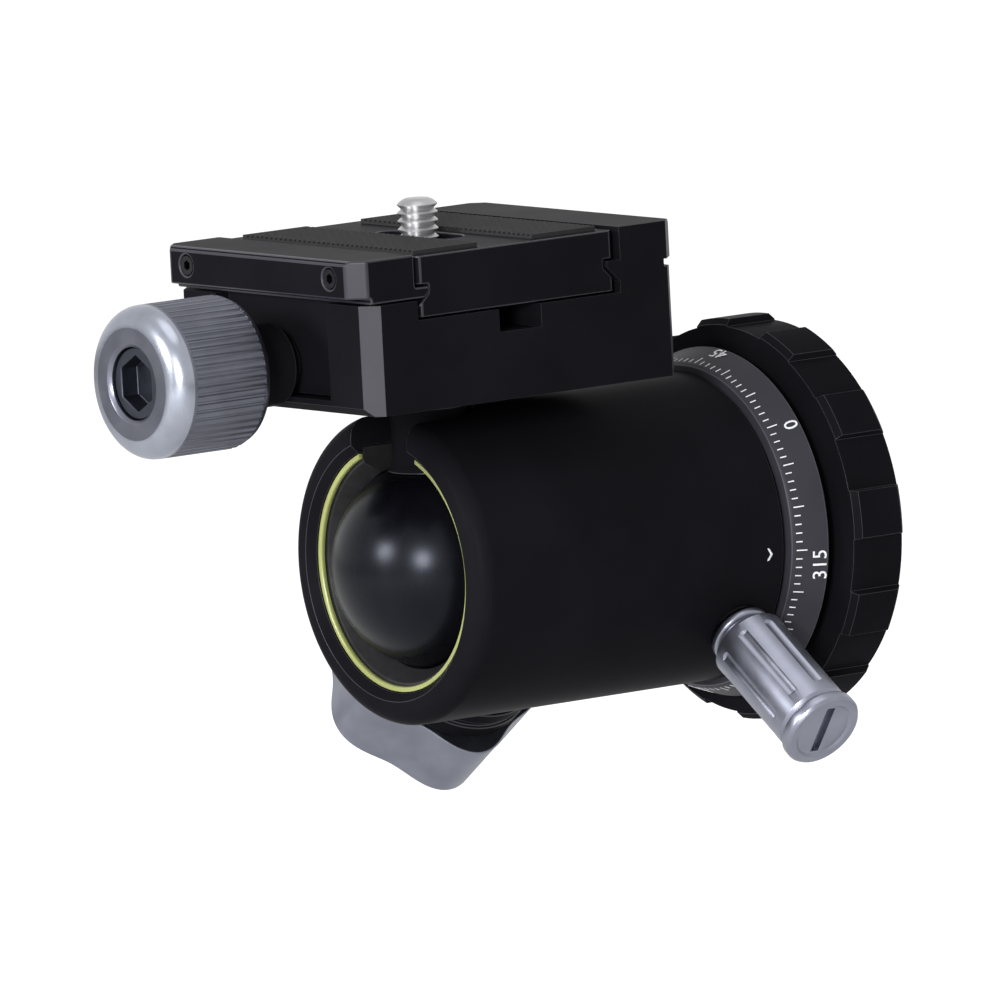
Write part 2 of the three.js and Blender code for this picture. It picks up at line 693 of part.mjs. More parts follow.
function guidePin(side) {
  const pin = rod(jaw.pinRadius, legOuter - jaw.pinLength, legInner + jaw.pinBite - slip, flats.screw);
  return towardsKnob(pin, jaw.pinHeight).translate(0, side * jaw.pinSpread, 0);
}

function jawScrew(side) {
  const { halfWidth } = clamp;
  const body = rod(jaw.screwRadius, halfWidth - jaw.screwLength, halfWidth - fit, flats.screw);
  const socket = raised(polar(6, () => jaw.socket), halfWidth - 2 * jaw.socket, halfWidth + overrun);
  return towardsKnob(carved(body, socket), jawScrewHeight).translate(0, side * jawScrewSpread, 0);
}

function knobCollarStart() {
  return legOuter + slip;
}

function clampKnobStart() {
  return knobCollarStart() + clampKnob.collarLength + slip;
}

// The collar behind the ribbed knob: its neck reaches into the jaw's pocket
function knobCollar() {
  const from = knobCollarStart();
  const step = from + clampKnob.neckLength;
  const to = from + clampKnob.collarLength;
  const bore = clampScrew.radius + fit;
  return ring([
    [bore, from], [clampKnob.neckRadius, from], [clampKnob.neckRadius, step],
    [clampKnob.collarRadius, step], [clampKnob.collarRadius, to], [bore, to],
  ], flats.small);
}

// The ribbed knob: fine straight ribs inside an envelope with a tapered back and face
function ribbedKnob() {
  const { radius, ribs, ribDepth, rearRadius, rearTaper, faceRadius, faceTaper } = clampKnob;
  const from = clampKnobStart();
  const to = from + clampKnob.length;
  const outline = polar(ribs * 2, (angle, i) => (i % 2 ? radius : radius - ribDepth));
  const envelope = turned([
    [0, from], [rearRadius, from], [radius, from + rearTaper], [radius, to - faceTaper],
    [faceRadius, to], [0, to],
  ], flats.large);
  return carved(
    common(envelope, raised(outline, from - overrun, to + overrun)),
    rod(clampScrew.radius + fit, from - overrun, to, flats.small),
    rod(clampKnob.insertRadius + fit, insertStart() - slip, to + overrun, flats.small),
  );
}

function insertStart() {
  return clampKnobStart() + clampKnob.length - clampKnob.insertSetback - clampKnob.insertLength;
}

function knobInsert() {
  const from = insertStart();
  const to = from + clampKnob.insertLength;
  const body = rod(clampKnob.insertRadius, from, to, flats.small);
  return carved(body, raised(polar(6, () => clampKnob.socket), to - clampKnob.socketDepth, to + overrun));
}

function quickPlate() {
  const { deckHalfWidth, edge } = plate;
  const half = side => [
    [side * dovetail.halfWidth, plateFoot], [side * dovetail.halfWidth, flankFoot],
    [side * dovetail.waist, flankTop], [side * dovetail.waist, deckBottom],
    [side * deckHalfWidth, deckBottom], [side * deckHalfWidth, deckTop - edge],
    [side * (deckHalfWidth - edge), deckTop],
  ];
  const section = polygon([...half(1), ...half(-1).reverse()]);
  const plan = cutRectangle(-deckHalfWidth, deckHalfWidth, plate.length / 2, plate.cornerCut);
  const body = common(alongSlot(section, plate.length), raised(plan, clamp.bottom, clamp.top + overrun));
  const padPocket = side => block(
    Math.min(side * (pad.inner - fit), side * (pad.outer + fit)),
    Math.max(side * (pad.inner - fit), side * (pad.outer + fit)),
    -pad.halfLength - fit, pad.halfLength + fit, deckTop - pad.recess, deckTop + overrun,
  );
  return carved(
    body,
    raised(slotOutline(plate.slotHalfWidth, plate.slotHalfLength), plateFoot - overrun, clamp.top + overrun),
    raised(slotOutline(plate.channelHalfWidth, plate.channelHalfLength), plateFoot - overrun,
      plateFoot + plate.channelDepth),
    padPocket(1),
    padPocket(-1),
  );
}

function platePad(side) {
  const from = deckTop - pad.recess + fit;
  const x0 = Math.min(side * pad.inner, side * pad.outer);
  const x1 = Math.max(side * pad.inner, side * pad.outer);
  return block(x0, x1, -pad.halfLength, pad.halfLength, from, from + pad.thickness);
}

function tripodScrew() {
  const foot = plateFoot + cameraScrew.headGap;
  const head = foot + cameraScrew.headHeight;
  const body = turned([
    [0, foot], [cameraScrew.headRadius, foot], [cameraScrew.headRadius, head],
    [cameraScrew.radius, head], [cameraScrew.radius, head + cameraScrew.length], [0, head + cameraScrew.length],
  ], flats.small);
  const half = cameraScrew.slot / 2;
  const reach = cameraScrew.headRadius - cameraScrew.slot;
  return carved(body, block(-half, half, -reach, reach, foot - overrun, foot + cameraScrew.slotDepth));
}

// The pieces that turn or stand on the housing's axis, which runs out along -X
function axisGroup() {
  const group = new THREE.Group();
  group.rotation.y = -Math.PI / 2;
  return group;
}

function baseGroup() {
  const group = axisGroup();
  const washerRear = shoulderEnd + fit;
  group.add(
    piece('base_plate', basePlate(), 'blackSatin'),
    piece('grip_ring', gripRing(), 'blackSatin'),
    piece('scale_ring', scaleBand(), 'scaleGrey'),
    piece('thread_bush', threadBush(), 'steel'),
    piece('pan_pivot', panPivot(), 'steel'),
    piece('thrust_washer', tube(pivot.drumRadius + slip, shoulderRadius - thrustWasher.margin,
      washerRear, washerRear + thrustWasher.thickness, flats.medium), 'polymer'),
    piece('pivot_washer', tube(pivot.neckRadius + fit, pivotWasher.radius,
      pivotWasherRear, pivotWasherRear + pivotWasher.thickness, flats.small), 'brass'),
    piece('pivot_nut', hexNut(), 'steel'),
  );
  screwPlaces().forEach(([x, y], i) => {
    const screw = piece(`base_screw_${i + 1}`, baseScrew(), 'steel');
    screw.position.set(x, y, 0);
    group.add(screw);
  });
  return group;
}

function housingGroup() {
  const group = axisGroup();
  const bossTop = housingRadius + mainLock.bossHeight;
  group.add(
    piece('housing', housingShell(), 'blackSatin'),
    piece('accent_ring', accentRing(), 'accent'),
    piece('upper_seat', upperSeat(), 'polymer'),
    piece('lower_cup', lowerCup(), 'polymer'),
    lockGroup(mainPlace,
      piece('lock_bush', tube(mainLock.screwRadius + fit, mainLock.bushRadius,
        boreRadius + slip, bossTop, flats.small), 'brass'),
      piece('lock_wedge', wedgeBlock(0, 0), 'steel'),
      piece('lock_screw', rod(mainLock.screwRadius, mainScrewStart(), mainScrewEnd(), flats.small), 'steel'),
      piece('lock_collar', mainCollar(), 'blackSatin'),
      piece('lock_knob', mainKnob(), 'silver'),
      piece('lock_knob_cap', mainCap(), 'silver')),
    lockGroup(panPlace,
      piece('pan_bush', tube(panLock.screwRadius + fit, panLock.bushRadius,
        housingRadius - panLock.bushLength + slip, housingRadius, flats.small), 'brass'),
      piece('pan_brake', rod(panLock.shoeRadius, panShoeStart(), panShoeStart() + panLock.shoeLength,
        flats.small), 'polymer'),
      piece('pan_screw', rod(panLock.screwRadius, panScrewStart(), panScrewEnd(), flats.small), 'steel'),
      piece('pan_collar', tube(panLock.screwRadius + fit, panLock.collarRadius,
        panCollarStart(), panCollarStart() + panLock.collarLength, flats.small), 'silver'),
      piece('pan_knob', panBarrel(), 'silver'),
      piece('pan_knob_cap', panCap(), 'silver')),
  );
  return group;
}

// Pieces of a side lock: made along +Z and pointed out of the axis
function lockGroup(place, ...pieces) {
  const group = new THREE.Group();
  group.rotation.set(0, Math.PI / 2, place.angle, 'ZYX');
  group.position.z = place.station;
  group.add(...pieces);
  return group;
}

function clampGroup() {
  const group = new THREE.Group();
  group.position.x = -ballStation;
  const knobLine = new THREE.Group();
  knobLine.rotation.y = -Math.PI / 2;
  knobLine.position.z = clampScrew.height;
  const clipFrom = legInner - slip - clampScrew.clipWidth;
  knobLine.add(
    piece('clamp_screw', rod(clampScrew.radius, clampScrew.tip, clampScrew.reach, flats.small), 'steel'),
    piece('clamp_screw_clip', tube(clampScrew.radius + fit, clampScrew.clipRadius,
      clipFrom, clipFrom + clampScrew.clipWidth, flats.small), 'steel'),
    piece('clamp_knob_collar', knobCollar(), 'blackSatin'),
    piece('clamp_knob', ribbedKnob(), 'silver'),
    piece('clamp_knob_insert', knobInsert(), 'steel'),
  );
  group.add(
    piece('ball', ballBody(), 'ball'),
    piece('stem', stemPost(), 'blackSatin'),
    piece('stem_bolt', clampBolt(), 'steel'),
    piece('clamp_body', clampBlock(), 'blackSatin'),
    piece('moving_jaw', movingJaw(), 'blackSatin'),
    piece('quick_plate', quickPlate(), 'blackSatin'),
    piece('camera_screw', tripodScrew(), 'steel'),
    knobLine,
  );
  [['front', -1], ['back', 1]].forEach(([place, side]) => {
    group.add(
      piece(`guide_pin_${place}`, guidePin(side), 'steel'),
      piece(`jaw_screw_${place}`, jawScrew(side), 'steel'),
    );
  });
  [['knob_side', -1], ['bar_side', 1]].forEach(([place, side]) => {
    group.add(piece(`plate_pad_${place}`, platePad(side), 'rubber'));
  });
  return group;
}

const group = new THREE.Group();
group.add(baseGroup(), housingGroup(), clampGroup());

export default group;
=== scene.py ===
from math import asin, cos, degrees, pi, radians, sin

import bpy
from bpy.props import FloatProperty, FloatVectorProperty, IntProperty, PointerProperty
from mathutils import Matrix, Vector


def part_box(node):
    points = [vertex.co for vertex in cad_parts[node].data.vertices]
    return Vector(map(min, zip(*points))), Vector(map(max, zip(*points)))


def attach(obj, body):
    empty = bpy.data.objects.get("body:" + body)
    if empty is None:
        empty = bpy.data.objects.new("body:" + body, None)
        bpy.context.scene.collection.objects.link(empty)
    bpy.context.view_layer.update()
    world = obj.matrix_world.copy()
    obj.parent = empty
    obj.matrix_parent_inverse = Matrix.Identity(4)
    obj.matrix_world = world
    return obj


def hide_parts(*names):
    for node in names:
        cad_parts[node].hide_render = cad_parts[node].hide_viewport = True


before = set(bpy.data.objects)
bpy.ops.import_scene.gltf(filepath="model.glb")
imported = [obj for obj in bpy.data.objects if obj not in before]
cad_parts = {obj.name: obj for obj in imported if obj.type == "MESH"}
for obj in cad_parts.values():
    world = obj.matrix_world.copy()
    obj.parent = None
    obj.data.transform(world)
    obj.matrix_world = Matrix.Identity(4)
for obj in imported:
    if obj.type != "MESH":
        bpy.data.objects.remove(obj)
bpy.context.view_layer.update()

bl_info = {
    "name": "Ball Head Dresser",
    "version": (1, 0, 0),
    "blender": (4, 5, 0),
    "location": "View3D > Sidebar > Ball Head",
    "description": "Builds the finished surfaces of a notched ball head with a dovetail clamp",
    "category": "Object",
}

MM = 0.001
FIT = 0.15  # play between pieces that are put together
ROUND = 128  # steps round a large turned piece
SMALL_ROUND = 96


# Stations along the housing's axis, forward of the mounting face, and sizes, all in millimetres

def forward(node):
    """How far forward a node starts and ends."""
    low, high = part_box(node)
    return -high.x / MM, -low.x / MM


SHELL_REAR, SHELL_FRONT = forward("housing")
SHELL_RADIUS = 24
CHAMBER = 19.8  # radius of the housing's bore, which the seat fits in
HUB = 20  # radius of the base's hub, which the scale ring fits round
RING_FACE = forward("accent_ring")[1]
SEAT_REAR, SEAT_FRONT = forward("upper_seat")
BALL_LOW, BALL_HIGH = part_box("ball")
BALL_RADIUS = (BALL_HIGH.y - BALL_LOW.y) / 2 / MM
BALL_STATION = -(BALL_LOW.x + BALL_HIGH.x) / 2 / MM
KNOB_HEIGHT = 33.9  # of the clamp screw over the ball's centre


def side(station, angle):
    """The frame of a side lock: +Z points out of the housing at that station and angle from the top."""
    turn = Matrix.Rotation(radians(angle), 4, "Z") @ Matrix.Rotation(pi / 2, 4, "Y")
    return AXIS @ Matrix.Translation((0, 0, station * MM)) @ turn


AXIS = Matrix.Rotation(-pi / 2, 4, "Y")
BALL = Matrix.Translation((-BALL_STATION * MM, 0, 0))
LOCK = side(46, 126)
PAN = side(25.5, -125)
CLAMP_SCREW = Matrix.Translation((0, 0, KNOB_HEIGHT * MM)) @ AXIS
KNOB_LINE = BALL @ CLAMP_SCREW


# Modelling

def clear_selection():
    if bpy.context.object and bpy.context.object.mode != "OBJECT":
        bpy.ops.object.mode_set(mode="OBJECT")
    bpy.ops.object.select_all(action="DESELECT")


def activate(piece):
    clear_selection()
    piece.select_set(True)
    bpy.context.view_layer.objects.active = piece


def trace(name, places):
    """Draws a line through places in millimetres, one extruded corner at a time, and stays in edit mode."""
    clear_selection()
    corners = [Vector(place) * MM for place in places]
    bpy.ops.mesh.primitive_plane_add(size=MM, location=(0, 0, 0))
    piece = bpy.context.object
    piece.name = name
    bpy.ops.object.mode_set(mode="EDIT")
    bpy.ops.mesh.select_mode(type="VERT")
    bpy.ops.mesh.merge(type="CENTER")
    bpy.ops.transform.translate(value=corners[0])
    for here, there in zip(corners, corners[1:]):
        bpy.ops.mesh.extrude_vertices_move(TRANSFORM_OT_translate={"value": there - here})
    return piece


def close_up(piece, merge=1e-6):
    """Closes seams and poles and points every face outwards."""
    bpy.ops.mesh.select_all(action="SELECT")
    bpy.ops.mesh.remove_doubles(threshold=merge)
    bpy.ops.mesh.normals_make_consistent(inside=False)
    bpy.ops.object.mode_set(mode="OBJECT")
    return piece


def spun(name, corners, steps=ROUND):
    """Spins (radius, height) corners about +Z into a closed body."""
    piece = trace(name, [(radius, 0, height) for radius, height in corners])
    bpy.ops.mesh.select_all(action="SELECT")
    bpy.ops.mesh.spin(steps=steps, angle=2 * pi, center=(0, 0, 0), axis=(0, 0, 1))
    return close_up(piece)


def spun_ring(name, corners, steps=ROUND):
    return spun(name, corners + corners[:1], steps)


def drawn(name, outline, low, high):
    """Fills an outline of (x, y) corners and draws it up from one height to another."""
    piece = trace(name, [(x, y, low) for x, y in outline])
    bpy.ops.mesh.select_all(action="SELECT")
    bpy.ops.mesh.edge_face_add()
    bpy.ops.mesh.extrude_region_move(TRANSFORM_OT_translate={"value": (0, 0, (high - low) * MM)})
    return close_up(piece)


def placed(piece, matrix):
    activate(piece)
    piece.matrix_world = matrix @ piece.matrix_world
    bpy.ops.object.transform_apply(location=True, rotation=True, scale=True)
    return piece


def across(piece):
    """Turns a body drawn up +Z from a section in X and Z to lie along Y."""
    return placed(piece, Matrix.Rotation(pi / 2, 4, "X"))


def combine(piece, operation, *tools):
    """Joins tools to a piece, or cuts them from it, and uses them up."""
    for tool in tools:
        activate(piece)
        bpy.ops.object.modifier_add(type="BOOLEAN")
        modifier = piece.modifiers[-1]
        modifier.operation = operation
        modifier.solver = "EXACT"
        modifier.object = tool
        bpy.ops.object.modifier_apply(modifier=modifier.name)
        mesh = tool.data
        bpy.data.objects.remove(tool)
        bpy.data.meshes.remove(mesh)
    return piece


def cut(piece, *tools):
    return combine(piece, "DIFFERENCE", *tools)


def box(low, high):
    """A block between two corners."""
    clear_selection()
    middle = (Vector(low) + Vector(high)) / 2 * MM
    bpy.ops.mesh.primitive_cube_add(size=1, location=middle)
    piece = bpy.context.object
    piece.scale = (Vector(high) - Vector(low)) * MM
    bpy.ops.object.transform_apply(location=True, rotation=True, scale=True)
    return piece


def rod(radius, low, high, sides=64, matrix=None):
    """A cylinder about +Z, or about a frame's own +Z."""
    clear_selection()
    bpy.ops.mesh.primitive_cylinder_add(
        vertices=sides, radius=radius * MM, depth=(high - low) * MM,
        location=(0, 0, (low + high) / 2 * MM))
    piece = bpy.context.object
    bpy.ops.object.transform_apply(location=True, rotation=True, scale=True)
    return placed(piece, matrix) if matrix else piece


def repeated(piece, count, matrix_of):
    """Joins copies of a piece, each with its own mesh, into one."""
    copies = [piece]
    for index in range(1, count):
        twin = piece.copy()
        twin.data = piece.data.copy()
        bpy.context.scene.collection.objects.link(twin)
        twin.matrix_world = matrix_of(index)
        copies.append(twin)
    return joined(copies)


def joined(pieces):
    """Joins pieces into the first of them."""
    clear_selection()
    for piece in pieces:
        piece.select_set(True)
    bpy.context.view_layer.objects.active = pieces[0]
    bpy.ops.object.join()
    bpy.ops.object.transform_apply(location=True, rotation=True, scale=True)
    return pieces[0]


def round_the_axis(piece, count):
    return repeated(piece, count, lambda index: Matrix.Rotation(2 * pi * index / count, 4, "Z"))


def soften(piece, width, segments=3, angle=32, merge=0.03):
    """Merges slivers that a cut left, then rounds every edge sharper than an angle."""
    activate(piece)
    bpy.ops.object.mode_set(mode="EDIT")
    bpy.ops.mesh.select_all(action="SELECT")
    bpy.ops.mesh.remove_doubles(threshold=merge * MM)
    bpy.ops.object.mode_set(mode="OBJECT")
    while len(piece.data.materials) < 2:
        piece.data.materials.append(None)
    bpy.ops.object.modifier_add(type="BEVEL")
    modifier = piece.modifiers[-1]
    # The rounded faces take the second material, the lighter edge finish, which on black pieces is partly a
    # painted highlight.
    modifier.material = 1
    modifier.width = width * MM
    modifier.segments = segments
    modifier.limit_method = "ANGLE"
    modifier.angle_limit = radians(angle)
    modifier.miter_outer = "MITER_ARC"
    bpy.ops.object.modifier_apply(modifier=modifier.name)
    return piece


def dress(piece, body, slot, name, *nodes, smooth=32):
    """Gives a finished piece its shading, finish and body, and hides what it stands for. Its slot is not
    used.
    """
    activate(piece)
    bpy.ops.object.shade_smooth_by_angle(angle=radians(smooth))
    bpy.ops.object.modifier_add(type="WEIGHTED_NORMAL")
    piece.modifiers[-1].keep_sharp = True
    bpy.ops.object.modifier_apply(modifier=piece.modifiers[-1].name)
    if not piece.data.materials:
        piece.data.materials.append(None)
    piece.data.materials[0] = FINISHES[name]
    if len(piece.data.materials) > 1:
        piece.data.materials[1] = FINISHES.get(f"{name}_edge", FINISHES[name])
    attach(piece, body)
    if nodes:
        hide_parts(*nodes)
    return piece


def arc(radius, height, bend, start, end, steps):
    """Corners of a round stretch of a profile, about a centre at a radius and height."""
    turns = [radians(start + (end - start) * index / steps) for index in range(steps + 1)]
    return [(radius + bend * cos(turn), height + bend * sin(turn)) for turn in turns]


def wave(count, radius_at):
    """An outline whose radius follows the angle round it."""
    turns = [2 * pi * index / count for index in range(count)]
    return [(radius_at(turn) * cos(turn), radius_at(turn) * sin(turn)) for turn in turns]


def hexagon(radius):
    return wave(6, lambda turn: radius)


def mirrored(half):
    """A closed outline from its right half."""
    return half + [(-x, y) for x, y in reversed(half)]


def thread(root, crest, start, pitch, turns, rise, land):
    """Corners of a thread's teeth, which rise from the root to a land at the crest and fall back."""
    corners = []
    for index in range(turns):
        foot = start + pitch * index
        top = foot + rise
        corners += [(root, foot), (crest, top), (crest, top + land), (root, top + land + rise)]
    return corners


# Materials

def new_material(name):
    material = bpy.data.materials.new(name)
    material.use_nodes = True
    return material, material.node_tree.nodes, material.node_tree.links


def coordinates(nodes, links, matrix=None, stretch=(1, 1, 1)):
    """Object coordinates, centred and turned on a piece's own axis where one is given."""
    source = nodes.new("ShaderNodeTexCoord")
    mapping = nodes.new("ShaderNodeMapping")
    mapping.vector_type = "POINT"
    if matrix:
        inverse = matrix.inverted()
        mapping.inputs["Location"].default_value = inverse.to_translation()
        mapping.inputs["Rotation"].default_value = inverse.to_euler()
    mapping.inputs["Scale"].default_value = stretch
    links.new(source.outputs["Object"], mapping.inputs["Vector"])
    return mapping.outputs["Vector"]


def noise(nodes, links, vector, scale, detail=3):
    texture = nodes.new("ShaderNodeTexNoise")
    texture.inputs["Scale"].default_value = scale
    texture.inputs["Detail"].default_value = detail
    links.new(vector, texture.inputs["Vector"])
    return texture.outputs["Fac"]


def ramp(nodes, links, factor, stops):
    """A colour ramp over (position, colour) stops."""
    node = nodes.new("ShaderNodeValToRGB")
    elements = node.color_ramp.elements
    while len(elements) < len(stops):
        elements.new(0.5)
    for element, (position, colour) in zip(elements, stops):
        element.position = position
        element.color = (*colour, 1)
    links.new(factor, node.inputs["Fac"])
    return node.outputs["Color"]


def spread(nodes, links, factor, low, high):
    """Spreads a factor from 0 to 1 over a range."""
    node = nodes.new("ShaderNodeMapRange")
    node.inputs["To Min"].default_value = low
    node.inputs["To Max"].default_value = high
    links.new(factor, node.inputs["Value"])
    return node.outputs["Result"]


def bump(nodes, links, height, strength, distance, under=None):
    """A bump whose distance is in millimetres, over another one where given."""
    node = nodes.new("ShaderNodeBump")
    node.inputs["Strength"].default_value = strength
    node.inputs["Distance"].default_value = distance * MM
    links.new(height, node.inputs["Height"])
    if under:
        links.new(under, node.inputs["Normal"])
    return node.outputs["Normal"]


def shade(colour, factor):
    return tuple(min(1, channel * factor) for channel in colour)


def anodised(name, colour, rough, specular=0.006, grain=0.3):
    """Blasted and dyed aluminium: an even fine grain under a slightly cloudy tone."""
    material, nodes, links = new_material(name)
    surface = nodes["Principled BSDF"]
    surface.inputs["Specular IOR Level"].default_value = specular
    vector = coordinates(nodes, links)
    clouds = noise(nodes, links, vector, 60)
    body = ramp(nodes, links, clouds, [(0.3, shade(colour, 0.85)), (0.7, shade(colour, 1.15))])
    links.new(body, surface.inputs["Base Color"])
    links.new(spread(nodes, links, clouds, rough - 0.05, rough + 0.05), surface.inputs["Roughness"])
    fine = noise(nodes, links, vector, 5200, 2)
    links.new(bump(nodes, links, fine, grain, 0.02), surface.inputs["Normal"])
    return material


def turned_metal(name, colour, matrix, rough, lines=2200, depth=0.25):
    """Bare turned aluminium or steel: fine rings about the piece's own axis and a faint haze."""
    material, nodes, links = new_material(name)
    surface = nodes["Principled BSDF"]
    surface.inputs["Metallic"].default_value = 1
    vector = coordinates(nodes, links, matrix)
    rings = nodes.new("ShaderNodeTexWave")
    rings.wave_type = "RINGS"
    rings.rings_direction = "Z"
    rings.inputs["Scale"].default_value = lines
    rings.inputs["Distortion"].default_value = 0.6
    rings.inputs["Detail"].default_value = 1
    links.new(vector, rings.inputs["Vector"])
    haze = noise(nodes, links, vector, 220)
    tone = ramp(nodes, links, haze, [(0.25, shade(colour, 0.84)), (0.75, shade(colour, 1.08))])
    links.new(tone, surface.inputs["Base Color"])
    links.new(spread(nodes, links, haze, rough - 0.07, rough + 0.08), surface.inputs["Roughness"])
    grain = noise(nodes, links, vector, 4200, 2)
    under = bump(nodes, links, rings.outputs["Fac"], depth, 0.012)
    links.new(bump(nodes, links, grain, 0.2, 0.015, under), surface.inputs["Normal"])
    return material


def gloss_black(name, colour, rough):
    """Hard anodised and polished: deep black, with faint wipe marks in the shine."""
    material, nodes, links = new_material(name)
    surface = nodes["Principled BSDF"]
    surface.inputs["Specular IOR Level"].default_value = 0.17
    surface.inputs["Specular Tint"].default_value = (0.78, 0.84, 1, 1)
    vector = coordinates(nodes, links, stretch=(1, 1, 0.35))
    smears = noise(nodes, links, vector, 260, 4)
    tone = ramp(nodes, links, smears, [(0.3, colour), (0.8, shade(colour, 1.8))])
    links.new(tone, surface.inputs["Base Color"])
    links.new(spread(nodes, links, smears, rough - 0.03, rough + 0.06), surface.inputs["Roughness"])
    return material


def moulded(name, colour, rough, scale=900, strength=0.25):
    """Moulded plastic or rubber with a fine matt texture."""
    material, nodes, links = new_material(name)
    surface = nodes["Principled BSDF"]
    surface.inputs["Specular IOR Level"].default_value = 0.3
    vector = coordinates(nodes, links)
    grain = noise(nodes, links, vector, scale)
    tone = ramp(nodes, links, grain, [(0.3, shade(colour, 0.85)), (0.7, shade(colour, 1.12))])
    links.new(tone, surface.inputs["Base Color"])
    links.new(spread(nodes, links, grain, rough - 0.06, rough + 0.06), surface.inputs["Roughness"])
    links.new(bump(nodes, links, grain, strength, 0.03), surface.inputs["Normal"])
    return material


def marking(name, colour):
    """Paint wiped into engraved marks."""
    material, nodes, links = new_material(name)
    surface = nodes["Principled BSDF"]
    vector = coordinates(nodes, links)
    wipe = noise(nodes, links, vector, 1500, 2)
    tone = ramp(nodes, links, wipe, [(0.2, shade(colour, 0.75)), (0.6, colour)])
    links.new(tone, surface.inputs["Base Color"])
    surface.inputs["Roughness"].default_value = 0.6
    return material


FINISHES = {}


def mix_finishes(colours):
    """Makes every material of the head once. A name with _edge is the finish of that one's rounded edges."""
    silver = colours.silver
    FINISHES.update({
        "black": anodised("satin_black_anodised", colours.black, 0.38),
        # The edge finish of black is four times lighter than black: partly edge wear, partly a painted
        # highlight on the rounded edges and corner cuts.
        "black_edge": anodised("worn_and_highlit_black_edges", shade(colours.black, 4), 0.34, 0.2),
        "grey": anodised("dark_grey_anodised", colours.grey, 0.45, 0.08),
        "grey_edge": anodised("worn_grey_edges", shade(colours.grey, 2), 0.4, 0.2),
        "accent": anodised("yellow_green_anodised", colours.accent, 0.26, 0.6),
        "gloss": gloss_black("polished_black", colours.gloss, 0.27),
        # The clamp knob's silver is darkened to 0.68 of the knobs' silver: painted shade, a darker copy of
        # the same metal.
        "clamp_knob": turned_metal("turned_silver_clamp_knob_painted_shade", shade(silver, 0.68), KNOB_LINE, 0.33),
        "lock_knob": turned_metal("turned_silver_lock_knob", silver, LOCK, 0.36),
        # The pan knob's silver is lightened by 1.2: painted light, a lighter copy of the same metal.
        "pan_knob": turned_metal("turned_silver_pan_knob_painted_light", shade(silver, 1.2), PAN, 0.34),
        # The clamp knob's face ring and rounded rim are partly a lighter machined face, partly a painted
        # highlight where the rim catches the light.
        "knob_rim_highlight": turned_metal("turned_rim_with_painted_highlight", colours.bright, KNOB_LINE, 0.25),
        "black_oxide": turned_metal("black_oxide_steel", colours.oxide, KNOB_LINE, 0.42),
        "insert": turned_metal("dark_steel_insert", colours.insert, KNOB_LINE, 0.4),
        "steel": turned_metal("machined_steel", colours.steel, AXIS, 0.35),
        "stem_steel": turned_metal("plated_screw_steel", colours.steel, BALL, 0.33),
        "brass": turned_metal("machined_brass", colours.brass, AXIS, 0.35),
        "bearing": moulded("bearing_plastic", colours.bearing, 0.5),
        "black_bearing": moulded("black_bearing_plastic", colours.rubber, 0.4, 700, 0.1),
        "rubber": moulded("grip_rubber", colours.rubber, 0.78, 1400, 0.5),
        "marks": marking("white_marking", colours.marks),
    })


# Settings

def colour_setting(name, value, description):
    return FloatVectorProperty(
        name=name, description=description, subtype="COLOR", size=3, min=0, max=1, default=value)


def length_setting(name, value, description):
    return FloatProperty(name=name, description=description, default=value * MM, min=0, unit="LENGTH")


def count_setting(name, value, description, low, high):
    return IntProperty(name=name, description=description, default=value, min=low, max=high)


def strength_setting(name, value, description, high):
    return FloatProperty(name=name, description=description, default=value, min=0, max=high)


class HeadColours(bpy.types.PropertyGroup):
    """The colours of the head's finishes."""
    black: colour_setting("Black", (0.0066, 0.0064, 0.0082), "Satin black of the housing, base and clamp")
    grey: colour_setting("Scale grey", (0.032, 0.031, 0.038), "Dark grey of the scale ring")
    accent: colour_setting("Accent", (0.24, 0.26, 0.085), "Yellow-green of the ring in the mouth")
    gloss: colour_setting("Ball", (0.0018, 0.0018, 0.0028), "Polished black of the ball")
    silver: colour_setting("Silver", (0.225, 0.233, 0.283), "Satin aluminium of the knobs")
    # The bright rim colour is partly a painted highlight on the clamp knob's rounded rim.
    bright: colour_setting("Bright rim", (0.34, 0.36, 0.42), "Bright rounded rim of the clamp knob")
    oxide: colour_setting("Black oxide", (0.03, 0.03, 0.034), "Blackened steel of the jaw's screws")
    insert: colour_setting("Insert", (0.05, 0.055, 0.07), "Dark insert in the clamp knob's face")
    steel: colour_setting("Steel", (0.42, 0.42, 0.43), "Screws, pins and the mounting bush")
    brass: colour_setting("Brass", (0.55, 0.4, 0.18), "Bushes and washers")
    bearing: colour_setting("Bearing", (0.3, 0.3, 0.28), "Bearing plastic inside the housing")
    rubber: colour_setting("Rubber", (0.015, 0.015, 0.016), "Grip pads and the seat's dark plastic")
    marks: colour_setting("Marks", (0.72, 0.73, 0.76), "Scale marks and numbers")


class HeadSizes(bpy.types.PropertyGroup):
    """The sizes that shape the finished surfaces."""
    edge: length_setting("Edge rounding", 0.3, "Rounding of the machined edges")
    mouth_fillet: length_setting("Mouth fillet", 3, "Rounding of the housing's front rim")
    notch_width: length_setting("Notch width", 14, "Width of the drop notch")
    knob_rib_depth: length_setting("Rib depth", 0.35, "Depth of the grooves round the clamp knob")
    knob_ribs: count_setting("Knob ribs", 54, "Grooves round the clamp knob", 12, 90)
    grip_recesses: count_setting("Grip recesses", 12, "Recesses round the grip ring", 6, 24)
    scale_step: count_setting("Scale step", 3, "Degrees between scale marks", 1, 15)


class StudioLight(bpy.types.PropertyGroup):
    """The studio round the head."""
    world: strength_setting("World", 0.5, "Strength of the even surrounding light", 2)
    lamps: strength_setting("Lamps", 1, "Share that scales every lamp", 5)
    lens: FloatProperty(
        name="Lens", description="Focal length of the camera",
        default=653.7, min=50, max=2000, unit="CAMERA")
    floor_drop: length_setting("Floor", 150, "Height of the housing's axis over the floor")


GROUPS = (("head_colours", HeadColours), ("head_sizes", HeadSizes), ("head_studio", StudioLight))


